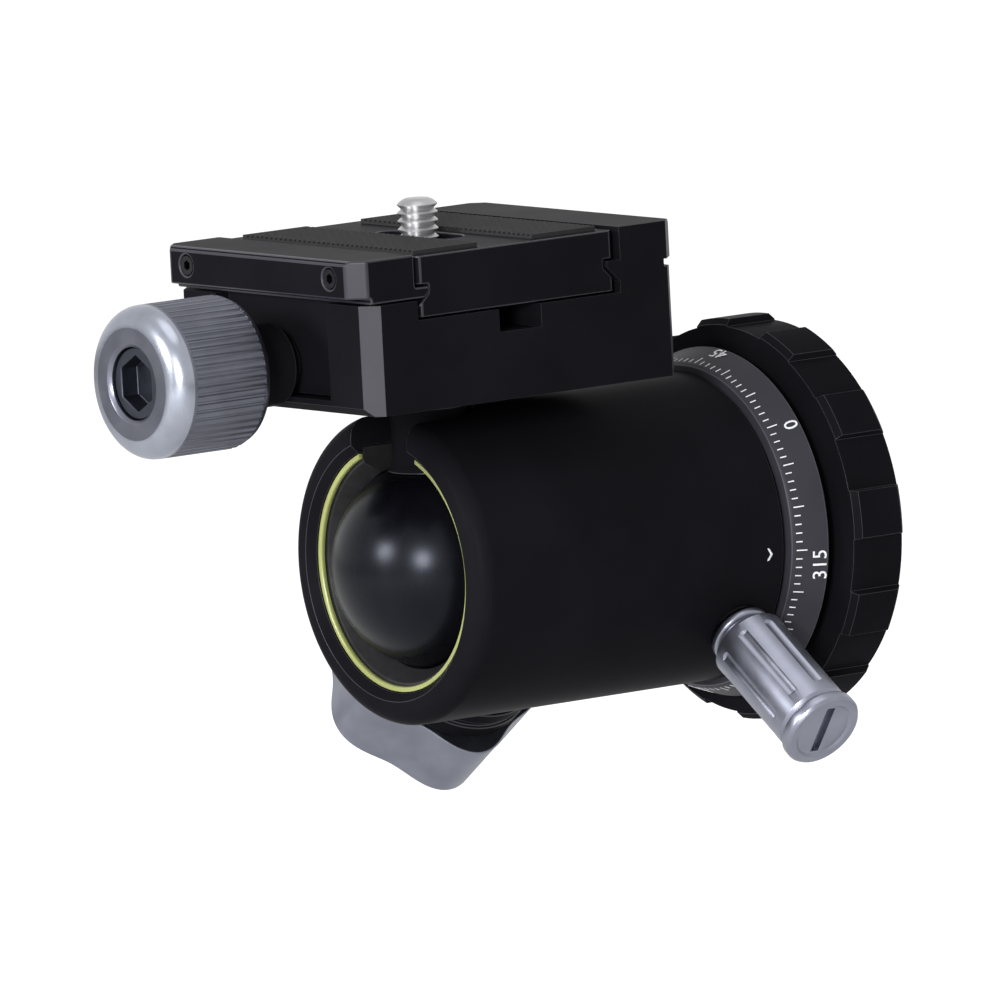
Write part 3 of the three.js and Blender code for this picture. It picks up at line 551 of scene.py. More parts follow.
def notch_tool():
    """The body that opens the front and top of the housing for the stem."""
    half = bpy.context.scene.head_sizes.notch_width / MM / 2
    ahead, above = -(SHELL_FRONT + 5), SHELL_RADIUS + 6
    turns = [pi * index / 32 for index in range(33)]
    bend = [(half * sin(turn) - BALL_STATION, half * cos(turn)) for turn in turns]
    return drawn("notch_tool", [(ahead, half), *bend, (ahead, -half)], 0, above)


def bowl(radius, start, end, steps):
    """Corners of a spherical seat about the ball, between two stations."""
    low, high = (asin((station - BALL_STATION) / radius) for station in (start, end))
    turns = [low + (high - low) * index / steps for index in range(steps + 1)]
    return [(radius * cos(turn), BALL_STATION + radius * sin(turn)) for turn in turns]


class MakeHousing(bpy.types.Operator):
    """Turns the panning housing, adds the lock's boss and cuts the bores and the drop notch"""
    bl_idname = "ball_head.housing"
    bl_label = "Housing"

    def execute(self, context):
        sizes = context.scene.head_sizes
        fillet = sizes.mouth_fillet / MM
        rear, front, radius = SHELL_REAR, SHELL_FRONT, SHELL_RADIUS
        chamfer, neck, shaft, mouth = 0.6, 13, 6.3, 18.9
        flare, flare_end, lip_end = 20.1, front - 1.25, front - 2.2
        web_rear, web_front, floor = rear + 12, rear + 15, rear + 19.65
        shell = spun_ring("housing_shell", [
            (neck, rear), (radius - chamfer, rear), (radius, rear + chamfer),
            *arc(radius - fillet, front - fillet, fillet, 0, 90, 10),
            (flare, front), (mouth, flare_end), (mouth, lip_end), (CHAMBER, lip_end),
            (CHAMBER, floor), (neck, floor), (neck, web_front), (shaft, web_front),
            (shaft, web_rear), (neck, web_rear),
        ], 160)
        placed(shell, AXIS)
        boss, boss_foot, boss_face = 9, 21, 26.2
        lock_bore, lock_low, lock_high = 5.65, 18, 28
        bush_bore, bush_low, bush_high = 4.55, 19.1, 26
        screw_bore, screw_low, screw_high = 3.35, 12.5, 20
        combine(shell, "UNION", rod(boss, boss_foot, boss_face, 96, LOCK))
        cut(shell, notch_tool(), rod(lock_bore, lock_low, lock_high, 64, LOCK),
            rod(bush_bore, bush_low, bush_high, 64, PAN),
            rod(screw_bore, screw_low, screw_high, 48, PAN))
        soften(shell, sizes.edge / MM, angle=38, merge=0.12)
        dress(shell, "housing", "black_satin", "black", "housing", smooth=35)
        return {"FINISHED"}


class MakeMouth(bpy.types.Operator):
    """Turns the accent ring and the bearing seat inside the housing's mouth"""
    bl_idname = "ball_head.mouth"
    bl_label = "Mouth"

    def execute(self, context):
        bore, rim, face, depth, chamfer = 17.95, 18.75, RING_FACE, 0.8, 0.25
        band = spun_ring("mouth_ring", [
            (bore, face - depth), (rim, face - depth), (rim, face), (bore + chamfer, face),
            (bore, face - chamfer)])
        cut(placed(band, AXIS), notch_tool())
        soften(band, width=0.12, segments=2)
        dress(band, "housing", "accent", "accent", "accent_ring")
        rim, opening, hollow, lead = CHAMBER - FIT, 17.5, 16.3, 3
        seat = spun_ring("front_seat", [
            (rim, SEAT_REAR), (rim, SEAT_FRONT), (opening, SEAT_FRONT),
            *bowl(hollow, SEAT_FRONT - lead, SEAT_REAR, 8)])
        cut(placed(seat, AXIS), notch_tool())
        soften(seat, width=0.15, segments=2)
        dress(seat, "housing", "bearing_polymer", "black_bearing", "upper_seat")
        return {"FINISHED"}


class MakeBall(bpy.types.Operator):
    """Turns the polished ball and its stem"""
    bl_idname = "ball_head.ball"
    bl_label = "Ball and stem"

    def execute(self, context):
        flat, bore, depth = 14.4, 4.15, 9.4
        sphere = arc(0, 0, BALL_RADIUS, -90, degrees(asin(flat / BALL_RADIUS)), 48)[1:]
        ball = spun("polished_ball", [
            (0, -BALL_RADIUS), *sphere, (bore, flat), (bore, flat - depth), (0, flat - depth)])
        dress(placed(ball, BALL), "ball", "gloss_black", "gloss", "ball")

        peg, foot, shoulder = bore - FIT, 5.3, flat + FIT
        waist, waist_low, waist_high = 5.8, 16.85, 24.45
        flange, flange_low, top, bolt, bolt_foot = 8, 25.75, 27.05, 3.15, 18.05
        stem = spun("stem_post", [
            (0, foot), (peg, foot), (peg, shoulder), (6.6, shoulder), (6.2, 15.4),
            (waist, waist_low), (waist, waist_high), (6.4, 25.1), (flange, flange_low),
            (flange, top), (bolt, top), (bolt, bolt_foot), (0, bolt_foot)], SMALL_ROUND)
        placed(soften(stem, width=0.2, segments=2), BALL)
        dress(stem, "clamp", "black_satin", "black", "stem")
        return {"FINISHED"}


def plan_cut(left, right, reach, corner, low, high):
    """A block with its four upright corners cut off, which a section is kept inside of."""
    x_low, x_high, y_high = left + corner, right - corner, reach - corner
    return drawn("plan", [
        (x_low, -reach), (x_high, -reach), (right, -y_high), (right, y_high),
        (x_high, reach), (x_low, reach), (left, y_high), (left, -y_high)], low, high)


def sectioned(name, section, reach, plan):
    """A section in X and Z, run along Y and kept inside a plan."""
    body = across(drawn(name, section, -reach, reach))
    return combine(body, "INTERSECT", plan)


def brighten_corners(piece):
    """Gives the upright corner cuts the lighter edge finish, a painted highlight where the chamfers catch
    the light.
    """
    for facet in piece.data.polygons:
        normal = facet.normal
        if abs(normal.z) < 0.1 and abs(abs(normal.x) - abs(normal.y)) < 0.1:
            facet.material_index = 1


class MakeClamp(bpy.types.Operator):
    """Mills the dovetail clamp's block and its moving jaw"""
    bl_idname = "ball_head.clamp"
    bl_label = "Clamp"

    # Places across the clamp and over the ball's centre, and sizes that the block and the jaw share
    outer, groove, inner, lip = 30.95, 27.95, 19.6, 16.95
    shelf, bar_foot, lip_low, ledge, top = 44, 45.2, 45.15, 46, 51
    reach, corner, chamfer, screw_bore = 24.5, 2.4, 0.6, 3.15

    def execute(self, context):
        edge = context.scene.head_sizes.edge / MM
        self.mill_block(edge)
        self.mill_jaw(edge)
        return {"FINISHED"}

    def plan(self, left):
        low, high = 20, 55
        return plan_cut(left, self.outer, self.reach, self.corner, low, high)

    def mill_block(self, edge):
        left, right, foot, slope = -28.7, 29.95, 27.2, 1.2
        bed, floor = 19.35, 41
        block = sectioned("clamp_block", [
            (left + slope, foot), (right - slope, foot), (right, foot + slope), (right, self.shelf),
            (self.groove, self.shelf), (self.groove, self.bar_foot), (self.outer, self.bar_foot),
            (self.outer, self.top - self.chamfer), (self.outer - self.chamfer, self.top),
            (self.inner, self.top), (self.inner, self.ledge), (self.lip, self.ledge),
            (self.lip, self.lip_low), (bed, self.lip_low + self.lip - bed), (bed, floor), (-bed, floor),
            (-bed, self.shelf), (left, self.shelf), (left, foot + slope),
        ], self.reach, self.plan(left))
        pocket_left, pocket_right, pocket_half, pocket_foot, above = -35, -20.4, 14, 29.2, 50
        channel, channel_reach, channel_foot, channel_top = 4, 30, 37.5, 45
        bolt_bore, below, bolt_head, head_foot = 3.15, 20, 5.15, 35.4
        collar_bore, collar_foot, screw_foot, outside = 5.3, 18.7, 8, 30
        cut(block,
            box((pocket_left, -pocket_half, pocket_foot), (pocket_right, pocket_half, above)),
            box((-channel, -channel_reach, channel_foot), (channel, channel_reach, channel_top)),
            rod(bolt_bore, below, above), rod(bolt_head, head_foot, above),
            rod(collar_bore, collar_foot, outside, matrix=CLAMP_SCREW),
            rod(self.screw_bore, screw_foot, outside, matrix=CLAMP_SCREW))
        placed(soften(block, edge, merge=0.1), BALL)
        dress(block, "clamp", "black_satin", "black", "clamp_body")
        brighten_corners(block)

    def mill_jaw(self, edge):
        foot = self.shelf + 0.3
        bar = sectioned("jaw_bar", [
            (-self.outer, self.bar_foot), (-self.groove, self.bar_foot), (-self.groove, foot),
            (foot - self.lip_low - self.lip, foot), (-self.lip, self.lip_low), (-self.lip, self.ledge),
            (-self.inner, self.ledge), (-self.inner, self.top), (self.chamfer - self.outer, self.top),
            (-self.outer, self.top - self.chamfer),
        ], self.reach, self.plan(-self.outer))
        tongue_left, tongue_right, tongue_half, tongue_foot = -26.5, -20.9, 13.7, 29.5
        combine(bar, "UNION", box(
            (tongue_left, -tongue_half, tongue_foot), (tongue_right, tongue_half, self.bar_foot)))
        hole, hole_foot, hole_height, hole_side = 1.65, 24, 48.2, 18
        shifts = [Matrix.Translation(Vector((0, y, hole_height)) * MM) for y in (-hole_side, hole_side)]
        bore_foot, outside = 10, 40
        cut(bar, rod(self.screw_bore, bore_foot, outside, 48, CLAMP_SCREW),
            *[rod(hole, hole_foot, outside, 32, shift @ AXIS) for shift in shifts])
        placed(soften(bar, edge, merge=0.1), BALL)
        dress(bar, "jaw", "black_satin", "black", "moving_jaw")
        brighten_corners(bar)


class MakePlate(bpy.types.Operator):
    """Mills the quick-release plate, moulds its two ribbed pads and cuts the camera screw"""
    bl_idname = "ball_head.plate"
    bl_label = "Quick-release plate"

    # The pads, in their places over the ball's centre
    near, far, half_length, pad_foot, pad_top = 5.2, 17.4, 21.5, 50.15, 51.25

    def execute(self, context):
        self.mill_plate(context.scene.head_sizes.edge / MM)
        for place, sign in (("knob_side", -1), ("bar_side", 1)):
            self.mould_pad(place, *sorted((sign * self.near, sign * self.far)))
        self.cut_screw()
        return {"FINISHED"}

    def slot_outline(self, half, reach):
        turns = [pi * index / 24 for index in range(25)]
        ends = [(half * cos(turn), (reach - half) + half * sin(turn)) for turn in turns]
        return ends + [(-x, -y) for x, y in ends]

    def mill_plate(self, edge):
        foot_half, neck, half, reach, corner, chamfer = 19.05, 16.65, 19.3, 24, 1.2, 0.5
        foot, slope_foot, ledge, top, below, above = 41.3, 42.6, 46.3, 50.6, 30, 60
        section = mirrored([
            (foot_half, foot), (foot_half, slope_foot), (neck, slope_foot + foot_half - neck),
            (neck, ledge), (half, ledge), (half, top - chamfer), (half - chamfer, top)])
        plan = plan_cut(-half, half, reach, corner, below, above)
        plate = sectioned("plate_body", section, reach, plan)
        slot, slot_reach, head_slot, head_reach, head_top = 3.45, 9, 7.4, 16, 46.6
        near, far, side_reach = self.near - FIT, self.far + FIT, self.half_length + FIT
        bed = self.pad_foot - FIT
        cut(plate, drawn("slot", self.slot_outline(slot, slot_reach), below, above),
            drawn("counterbore", self.slot_outline(head_slot, head_reach), below, head_top),
            box((near, -side_reach, bed), (far, side_reach, above)),
            box((-far, -side_reach, bed), (-near, side_reach, above)))
        placed(soften(plate, edge * 0.7, segments=2, merge=0.05), BALL)
        dress(plate, "plate", "black_satin", "black", "quick_plate")

    def mould_pad(self, place, low, high):
        pad = box((low, -self.half_length, self.pad_foot), (high, self.half_length, self.pad_top))
        pad.name = f"ribbed_pad_{place}"
        first, pitch, width, floor, above, count = -20.9, 1.2, 0.6, 50.85, 52, 35
        groove = box((low - 1, first, floor), (high + 1, first + width, above))
        cut(pad, repeated(groove, count, lambda index: Matrix.Translation((0, pitch * index * MM, 0))))
        placed(soften(pad, width=0.1, segments=2, merge=0.01), BALL)
        dress(pad, "plate", "pad_rubber", "rubber", f"plate_pad_{place}")

    def cut_screw(self):
        head, head_low, head_high, hollow, bevel = 7, 42, 46.2, 4.2, 0.4
        shank, shank_end, tip, tip_end = 2.7, 46.9, 1.9, 56.2
        teeth = thread(2.55, 3.1, shank_end + 0.2, 1.27, 7, 0.5, 0.14)
        screw = spun("threaded_camera_screw", [
            (0, head_low + bevel), (hollow, head_low + bevel), (hollow, head_low), (head - bevel, head_low),
            (head, head_low + bevel), (head, head_high - bevel), (head - bevel, head_high),
            (shank, head_high), (shank, shank_end), *teeth, (tip + bevel, 56), (tip, tip_end),
            (0, tip_end)], 64)
        slot, slot_reach, slot_floor = 0.8, 5.4, 43.6
        cut(screw, box((-slot, -slot_reach, head_low - 1), (slot, slot_reach, slot_floor)))
        dress(placed(screw, BALL), "camera_screw", "steel", "stem_steel", "camera_screw")


class MakeClampKnob(bpy.types.Operator):
    """Turns and grooves the clamp knob, its dark insert and its collar"""
    bl_idname = "ball_head.clamp_knob"
    bl_label = "Clamp knob"

    def execute(self, context):
        sizes = context.scene.head_sizes
        rear, face, bore, radius, rim = 36.9, 55.5, 3.15, 11.75, 3.2
        flat, recess, floor = 8.6, 5.6, face - 5.2
        knob = spun("ribbed_knob", [
            (bore, rear), (10, rear), (11.2, rear + 0.9), (radius, rear + 2.2), (radius, face - 3.4),
            *arc(radius - rim, face - rim, rim, 0, 82, 8), (flat, face), (recess + 0.6, face),
            (recess, face - 0.5), (recess, floor), (bore, floor), (bore, rear)], 216)
        rib = 0.62
        groove = rod(rib, rear + 1.9, face - 3.7, 10)
        lift = radius + rib - sizes.knob_rib_depth / MM
        placed(groove, Matrix.Translation((lift * MM, 0, 0)))
        cut(knob, round_the_axis(groove, sizes.knob_ribs))
        placed(soften(knob, width=0.12, segments=2, angle=35, merge=0.02), KNOB_LINE)
        dress(knob, "clamp_knob", "silver", "clamp_knob", "clamp_knob", smooth=28)
        knob.data.materials.append(FINISHES["knob_rim_highlight"])
        # Faces of the face ring and rounded rim take the bright rim finish, partly a painted highlight.
        line = KNOB_LINE.inverted()
        for facet in knob.data.polygons:
            spot = line @ facet.center
            if spot.z > (face - rim) * MM and spot.xy.length > flat * MM:
                facet.material_index = 2

        low, high, socket, socket_depth = 50.6, 54.6, 4.3, 3
        insert = rod(recess - FIT, low, high, SMALL_ROUND)
        insert.name = "socket_insert"
        cut(insert, drawn("socket", hexagon(socket), high - socket_depth, high + 5))
        placed(soften(insert, width=0.25, merge=0.02), KNOB_LINE)
        dress(insert, "clamp_knob", "steel", "insert", "clamp_knob_insert")

        low, step, high, sleeve, wide = 26.8, 29, 36.6, 4.4, 6.3
        collar = spun_ring("knob_collar", [
            (bore, low), (sleeve, low), (sleeve, step), (wide, step), (wide, high),
            (bore, high)], SMALL_ROUND)
        placed(soften(collar, width=0.3), KNOB_LINE)
        dress(collar, "clamp_knob", "black_satin", "black", "clamp_knob_collar")
        return {"FINISHED"}


class MakeLockKnob(bpy.types.Operator):
    """Shapes the five-lobed main knob, its cap and its black collar"""
    bl_idname = "ball_head.lock_knob"
    bl_label = "Main lock knob"

    def execute(self, context):
        low, high, bore, recess, floor, below, above = 34.1, 45.3, 3.65, 7.95, 43.9, 20, 50.3
        valley, rise, lobes, first_lobe = 14, 2.4, 5, radians(24)

        def radius_at(turn):
            return valley + rise * (1 + cos(lobes * (turn - first_lobe))) / 2

        knob = drawn("lobed_knob", wave(160, radius_at), low, high)
        cut(knob, rod(bore, below, high - 2), rod(recess, floor, above, SMALL_ROUND))
        placed(soften(knob, width=1.3, segments=5, angle=45, merge=0.01), LOCK)
        dress(knob, "lock_knob", "silver", "lock_knob", "lock_knob", smooth=40)

        foot, radius, crown, dimple = floor + FIT, recess - FIT, high + 0.5, 1.2
        cap = spun("knob_cap", [
            (0, foot), (radius, foot), (radius, high), (radius - 0.5, crown), (dimple, crown),
            (0, crown - 0.3)], SMALL_ROUND)
        placed(soften(cap, width=0.15, segments=2), LOCK)
        dress(cap, "lock_knob", "silver", "lock_knob", "lock_knob_cap")

        foot, top, radius, chamfer = 26.5, 33.8, 13.6, 1.2
        groove, groove_low, groove_high, flare = 13.2, 30.2, 31, 0.3
        collar = spun_ring("lock_collar_ring", [
            (bore, foot), (radius - chamfer, foot), (radius, foot + chamfer), (radius, groove_low - flare),
            (groove, groove_low), (groove, groove_high), (radius, groove_high + flare), (radius, top),
            (bore, top)])
        placed(soften(collar, width=0.15, segments=2), LOCK)
        dress(collar, "lock_knob", "black_satin", "black", "lock_collar")
        return {"FINISHED"}


class MakePanKnob(bpy.types.Operator):
    """Flutes the panning lock's barrel and turns its end and collar"""
    bl_idname = "ball_head.pan_knob"
    bl_label = "Panning lock knob"

    def execute(self, context):
        low, high, radius, bore, bore_depth, socket_depth = 26.5, 46.5, 6, 2.65, 8, 3.3
        barrel = spun("fluted_barrel", [
            (0, low), (5.1, low), (radius, low + 1.1), (radius, high - 0.7), (5.5, high), (0, high)])
        flute, flute_line, flutes, tip, taper = 1.4, 7, 8, 1.6, 3
        tool = spun("flute", [
            (0, low + tip), (flute, low + taper), (flute, high - taper), (0, high - tip)], 24)
        placed(tool, Matrix.Translation((flute_line * MM, 0, 0)))
        cut(barrel, round_the_axis(tool, flutes),
            rod(bore, low - 1, low + bore_depth), rod(bore, high - socket_depth, high + 1))
        placed(soften(barrel, width=0.2, merge=0.02), PAN)
        dress(barrel, "pan_knob", "silver", "pan_knob", "pan_knob", smooth=35)

        spigot, spigot_low, foot = bore - FIT, high - 3, high + FIT
        head, face, dish, floor = 6.5, foot + 2.3, 4.6, foot + 1.9
        end = spun("barrel_end", [
            (0, spigot_low), (spigot, spigot_low), (spigot, foot), (radius, foot), (head, foot + 0.5),
            (head, foot + 1.7), (6.1, face), (5, face), (dish, floor), (0, floor)], SMALL_ROUND)
        slot, slot_reach, slot_floor = 0.75, 4.2, foot + 0.9
        cut(end, box((-slot, -slot_reach, slot_floor), (slot, slot_reach, face + 1)))
        placed(soften(end, width=0.12, segments=2, merge=0.02), PAN)
        dress(end, "pan_knob", "silver", "pan_knob", "pan_knob_cap")

        foot, top, radius = 24.3, 26.2, 5
        collar = spun_ring("pan_collar_ring", [
            (bore, foot), (4.2, foot), (radius, foot + 0.6), (radius, top - 0.5), (4.4, top),
            (bore, top)], 64)
        placed(soften(collar, width=0.12, segments=2), PAN)
        dress(collar, "pan_knob", "silver", "pan_knob", "pan_collar")
        return {"FINISHED"}


class MakeBase(bpy.types.Operator):
    """Turns the base plate, the threaded mounting bush and the scalloped grip ring"""
    bl_idname = "ball_head.base"
    bl_label = "Base"

    def execute(self, context):
        self.turn_plate()
        self.thread_bush()
        self.scallop_grip(context.scene.head_sizes.grip_recesses)
        return {"FINISHED"}

    def turn_plate(self):
        bore, radius, chamfer, step, top = 7.65, SHELL_RADIUS, 0.6, 12, 16.9
        plate = spun_ring("base_disc", [
            (bore, 0), (radius - chamfer, 0), (radius, chamfer), (radius, step), (HUB, step), (HUB, top),
            (bore, top)])
        screws, circle, hole, head, head_depth, above = 3, 10.3, 1.45, 2.45, 2.7, 20
        for index in range(screws):
            turn = 2 * pi * index / screws
            shift = Matrix.Translation((circle * cos(turn) * MM, circle * sin(turn) * MM, 0))
            cut(plate, rod(hole, -1, above, 32, shift), rod(head, -1, head_depth, 32, shift))
        placed(soften(plate, width=0.2, segments=2), AXIS)
        dress(plate, "base", "black_satin", "black", "base_plate")

    def thread_bush(self):
        radius, height = 7.5, 10.5
        teeth = thread(4.75, 4.25, 9.9, -1.5875, 6, -0.7, -0.15)[:-1]
        bush = spun_ring("threaded_bush", [
            (5, 0), (radius, 0), (radius, height), (4.4, height), *teeth, (4.6, 0.4)], SMALL_ROUND)
        dress(placed(bush, AXIS), "base", "steel", "steel", "thread_bush")

    def scallop_grip(self, recesses):
        bore, rim, low, high, chamfer, below, above = SHELL_RADIUS + FIT, 31.2, 0.5, 10, 0.9, -5, 20
        wheel = spun_ring("grip_wheel", [
            (bore, low), (rim - chamfer, low), (rim, low + chamfer), (rim, high - chamfer),
            (rim - chamfer, high), (bore, high)], 240)
        recess = drawn("recess", self.recess_outline(), below, above)
        cut(wheel, round_the_axis(recess, recesses))
        placed(soften(wheel, width=0.3, angle=30), AXIS)
        dress(wheel, "base", "black_satin", "black", "grip_ring", smooth=30)

    def recess_outline(self):
        """A shallow recess that follows the rim, centred on a turn where the solid's recess is."""
        middle, half, floor, outside, splay = radians(20), radians(7.8), 30.1, 34, 0.03
        turns = [middle - half + 2 * half * index / 8 for index in range(9)]
        inner = [(floor * cos(turn), floor * sin(turn)) for turn in turns]
        ends = (turns[-1] + splay, turns[0] - splay)
        return inner + [(outside * cos(turn), outside * sin(turn)) for turn in ends]


class MakeScale(bpy.types.Operator):
    """Turns the scale ring, with its degree marks and numbers, and sets the housing's index mark"""
    bl_idname = "ball_head.scale"
    bl_label = "Scale"

    # The cone that the marks lie on: its radii at its rear and its front station
    rear, rear_radius, front, front_radius = 12.65, 27.2, 17.5, 25.4

    def execute(self, context):
        self.turn_band()
        self.mark_degrees(context.scene.head_sizes.scale_step)
        self.mark_index()
        return {"FINISHED"}

    def turn_band(self):
        bore, chamfer = HUB + FIT, 0.5
        low, high = self.rear - chamfer, self.front + chamfer
        band = spun_ring("scale_band", [
            (bore, low), (self.rear_radius - chamfer, low), (self.rear_radius, self.rear),
            (self.front_radius, self.front), (self.front_radius - chamfer, high), (bore, high)], 180)
        placed(soften(band, width=0.12, segments=2), AXIS)
        dress(band, "base", "scale_grey", "grey", "scale_ring")

    def mark_degrees(self, step):
        """Marks in steps of a few degrees, longer every 15, and numbers every 45."""
        half, sunk, proud, end = 0.09, 0.02, 0.06, 17.55
        first_mark, first_number, number_foot = -95, -50, 12.95
        marks = []
        for degree in range(0, 360, step):
            length = 1.7 if degree % 15 == 0 else 1
            mark = box((-half, -sunk, 0), (half, proud, length))
            marks.append(self.laid(mark, first_mark + degree, end - length))
        for degree in range(0, 360, 45):
            marks.append(self.laid(self.number(str(degree)), first_number + degree, number_foot))
        scale = joined(marks)
        scale.name = "scale_marks"
        placed(scale, AXIS)
        dress(scale, "base", "scale_grey", "marks")

    def mark_index(self):
        """The housing's own mark, an open arrowhead beside the scale."""
        tip, notch, back, half, sunk = 0.5, 0.1, -0.2, 0.95, 0.03
        arrow = drawn("index_mark", [
            (back, half), (tip, 0), (back, -half), (-0.55, -half), (notch, 0), (-0.55, half)], 0, 0.08)
        turn, station = radians(-95.8), SHELL_REAR + 3.2
        spot = Vector((SHELL_RADIUS * cos(turn), SHELL_RADIUS * sin(turn), station)) * MM
        upright = Matrix.Rotation(turn, 4, "Z") @ Matrix.Rotation(pi / 2, 4, "Y")
        placed(arrow, AXIS @ Matrix.Translation(spot) @ upright @ Matrix.Translation((0, 0, -sunk * MM)))
        dress(arrow, "housing", "black_satin", "marks")

    def laid(self, mark, degree, station):
        """Lays a mark drawn in X and Z, facing -Y, on the cone at a turn and a station."""
        slope = (self.rear_radius - self.front_radius) / (self.front - self.rear)
        radius = self.rear_radius - slope * (station - self.rear)
        lean = Matrix.Rotation(-sin(slope), 4, "X")
        turn = Matrix.Rotation(radians(degree) + pi / 2, 4, "Z")
        shift = Matrix.Translation((0, -radius * MM, station * MM))
        mark.matrix_world = turn @ shift @ lean @ mark.matrix_world
        return mark

    def number(self, text):
        size, proud = 3.2, 0.04
        clear_selection()
        bpy.ops.object.text_add()
        item = bpy.context.object
        item.data.body = text
        item.data.size = size * MM
        item.data.extrude = proud * MM
        item.data.align_x = "RIGHT"
        item.data.resolution_u = 3
        bpy.ops.object.convert(target="MESH")
        item = bpy.context.object
        item.matrix_world = Matrix.Rotation(pi / 2, 4, "X")
        bpy.ops.object.transform_apply(location=True, rotation=True, scale=True)
        return item


class FinishInnerParts(bpy.types.Operator):
    """Gives the screws, pins, bushes and bearings that keep their solids their own materials"""
    bl_idname = "ball_head.inner_parts"
    bl_label = "Inner parts"

    def execute(self, context):
        choices = {
            "steel": ["pan_pivot", "pivot_nut", "base_screw_1", "base_screw_2", "base_screw_3", "lock_wedge",
                      "lock_screw", "pan_screw", "guide_pin_front", "guide_pin_back", "clamp_screw",
                      "clamp_screw_clip"],
            "stem_steel": ["stem_bolt"],
            "black_oxide": ["jaw_screw_front", "jaw_screw_back", "pan_bush"],
            "brass": ["lock_bush", "pivot_washer"],
            "bearing": ["lower_cup", "pan_brake", "thrust_washer"],
        }
        for name, nodes in choices.items():
            for node in nodes:
                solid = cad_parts[node]
                solid.data.materials.clear()
                solid.data.materials.append(FINISHES[name])
        return {"FINISHED"}


# The photograph's viewpoint in metres, its directions and, in pixels, its focal length and frame

EYE = Vector((-1.7210, -2.1954, 0.3538))
RIGHT = Vector((0.7559, -0.6531, -0.0457))
UP = Vector((0.1071, 0.0545, 0.9928))
AHEAD = Vector((0.6458, 0.7553, -0.1111))
FOCAL = 3450
FRAME_MIDDLE = 500
HEAD_COLUMN, HEAD_ROW = 303, 556


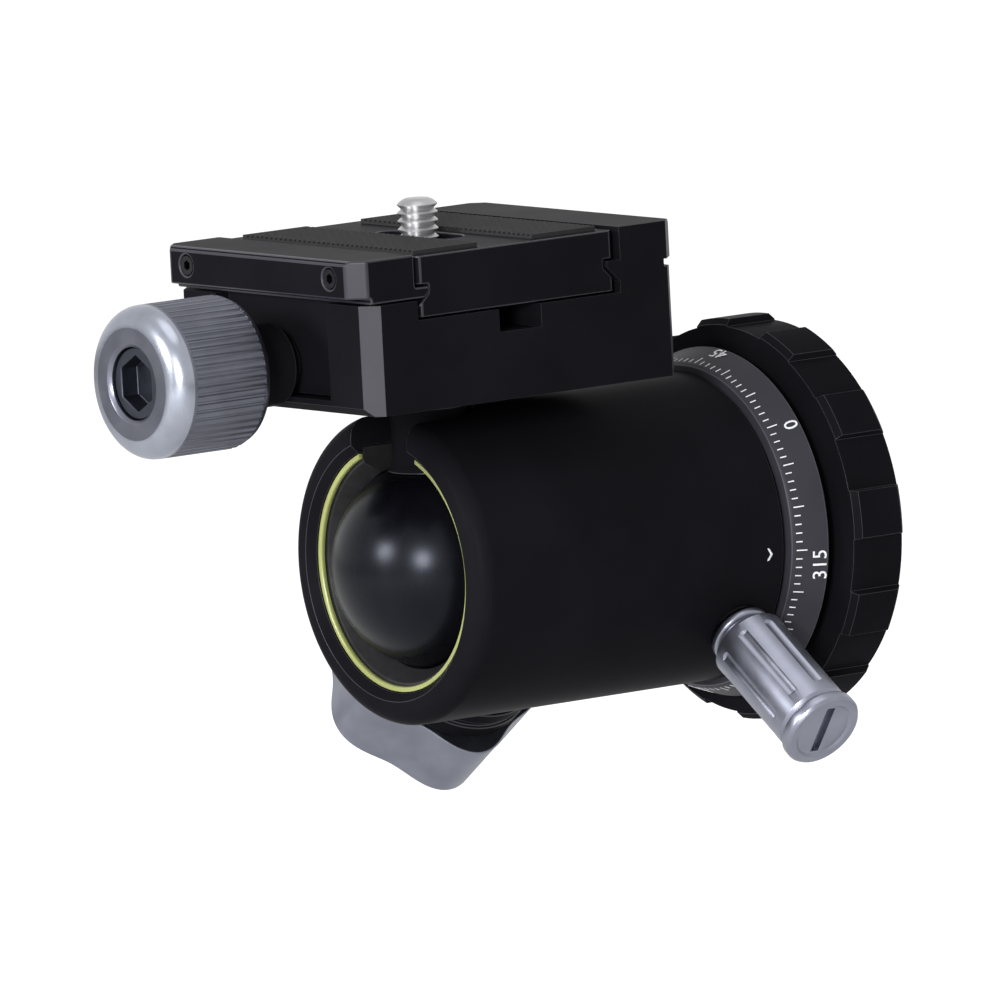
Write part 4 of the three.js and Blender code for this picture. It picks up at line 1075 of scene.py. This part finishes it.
class SetStudio(bpy.types.Operator):
    """Sets the pale floor, the even world, the soft lamps and the camera"""
    bl_idname = "ball_head.studio"
    bl_label = "Studio"

    def execute(self, context):
        studio = context.scene.head_studio
        self.set_world(studio.world)
        self.set_floor(-studio.floor_drop)
        self.set_camera(studio.lens)
        front = RIGHT * -0.2 + UP * 0.1 - AHEAD
        left = RIGHT * -0.9 + UP * 0.24 - AHEAD * 0.62
        above = Vector((-0.15, -0.2, 1))
        self.lamp("front_softbox", front, distance=1.5, size=0.38, power=20 * studio.lamps)
        self.lamp("left_softbox", left, distance=1.5, size=0.38, power=16 * studio.lamps)
        self.lamp("top_softbox", above, distance=1.6, size=1.2, power=4.5 * studio.lamps)
        return {"FINISHED"}

    def set_world(self, even):
        """Even light for the object, and white wherever the camera or a reflection looks past it."""
        world = bpy.data.worlds.new("studio_world")
        bpy.context.scene.world = world
        world.use_nodes = True
        nodes, links = world.node_tree.nodes, world.node_tree.links
        background = nodes["Background"]
        background.inputs["Color"].default_value = (1, 1, 1, 1)
        path = nodes.new("ShaderNodeLightPath")
        seen = path.outputs["Is Camera Ray"]
        for ray in ("Is Glossy Ray", "Is Transmission Ray"):
            most = nodes.new("ShaderNodeMath")
            most.operation = "MAXIMUM"
            links.new(seen, most.inputs[0])
            links.new(path.outputs[ray], most.inputs[1])
            seen = most.outputs[0]
        links.new(spread(nodes, links, seen, even, 1), background.inputs["Strength"])

    def set_floor(self, height):
        """A matt floor that the camera sees a little brighter than it is lit."""
        size, middle, pale, glow = 14, 1.5, 0.86, 0.56
        clear_selection()
        bpy.ops.mesh.primitive_plane_add(size=size, location=(middle, middle, height))
        floor = bpy.context.object
        floor.name = "studio_floor"
        bpy.ops.object.transform_apply(location=True, rotation=True, scale=True)
        material, nodes, links = new_material("pale_floor")
        surface = nodes["Principled BSDF"]
        surface.inputs["Base Color"].default_value = (pale, pale, pale, 1)
        surface.inputs["Roughness"].default_value = 0.9
        surface.inputs["Specular IOR Level"].default_value = 0
        surface.inputs["Emission Color"].default_value = (1, 1, 1, 1)
        seen = nodes.new("ShaderNodeLightPath").outputs["Is Camera Ray"]
        links.new(spread(nodes, links, seen, 0, glow), surface.inputs["Emission Strength"])
        floor.data.materials.append(material)

    def set_camera(self, lens):
        """Looks from the photograph's viewpoint, with its roll, at the middle of the head."""
        sideways = RIGHT * (HEAD_COLUMN - FRAME_MIDDLE) / FOCAL
        upward = UP * (FRAME_MIDDLE - HEAD_ROW) / FOCAL
        aim = (sideways + upward + AHEAD).normalized()
        across_view = aim.cross(UP).normalized()
        upright = across_view.cross(aim)
        clear_selection()
        bpy.ops.object.camera_add(location=EYE)
        camera = bpy.context.object
        camera.name = "photo_camera"
        turn = Matrix((across_view, upright, -aim)).transposed()
        camera.matrix_world = Matrix.Translation(EYE) @ turn.to_4x4()
        camera.data.lens = lens
        camera.data.sensor_width = 36
        camera.data.clip_end = 60
        bpy.context.scene.camera = camera
        bpy.context.scene.view_settings.view_transform = "Standard"

    def lamp(self, name, direction, distance, size, power):
        """A round soft lamp that faces the ball from a direction."""
        clear_selection()
        place = BALL.to_translation() + direction.normalized() * distance
        bpy.ops.object.light_add(type="AREA", location=place)
        lamp = bpy.context.object
        lamp.name = name
        lamp.data.shape = "DISK"
        lamp.data.size = size
        lamp.data.energy = power
        lamp.rotation_euler = direction.to_track_quat("Z", "Y").to_euler()


class HeadPanel(bpy.types.Panel):
    """Lists the head's settings and its build steps"""
    bl_idname = "VIEW3D_PT_ball_head"
    bl_label = "Ball Head"
    bl_space_type = "VIEW_3D"
    bl_region_type = "UI"
    bl_category = "Ball Head"

    def draw(self, context):
        for name, group in GROUPS:
            column = self.layout.column(align=True)
            for setting in group.__annotations__:
                column.prop(getattr(context.scene, name), setting)
        column = self.layout.column(align=True)
        for step in STEPS:
            column.operator(step.bl_idname)


STEPS = (MakeHousing, MakeMouth, MakeBall, MakeClamp, MakePlate, MakeClampKnob, MakeLockKnob, MakePanKnob,
         MakeBase, MakeScale, FinishInnerParts, SetStudio)


def register():
    for name, group in GROUPS:
        bpy.utils.register_class(group)
        setattr(bpy.types.Scene, name, PointerProperty(type=group))
    for step in STEPS:
        bpy.utils.register_class(step)
    bpy.utils.register_class(HeadPanel)


def unregister():
    bpy.utils.unregister_class(HeadPanel)
    for step in reversed(STEPS):
        bpy.utils.unregister_class(step)
    for name, group in reversed(GROUPS):
        delattr(bpy.types.Scene, name)
        bpy.utils.unregister_class(group)


def main():
    register()
    mix_finishes(bpy.context.scene.head_colours)
    ops = bpy.ops.ball_head
    ops.housing()
    ops.mouth()
    ops.ball()
    ops.clamp()
    ops.plate()
    ops.clamp_knob()
    ops.lock_knob()
    ops.pan_knob()
    ops.base()
    ops.scale()
    ops.inner_parts()
    ops.studio()


if __name__ == "__main__":
    main()
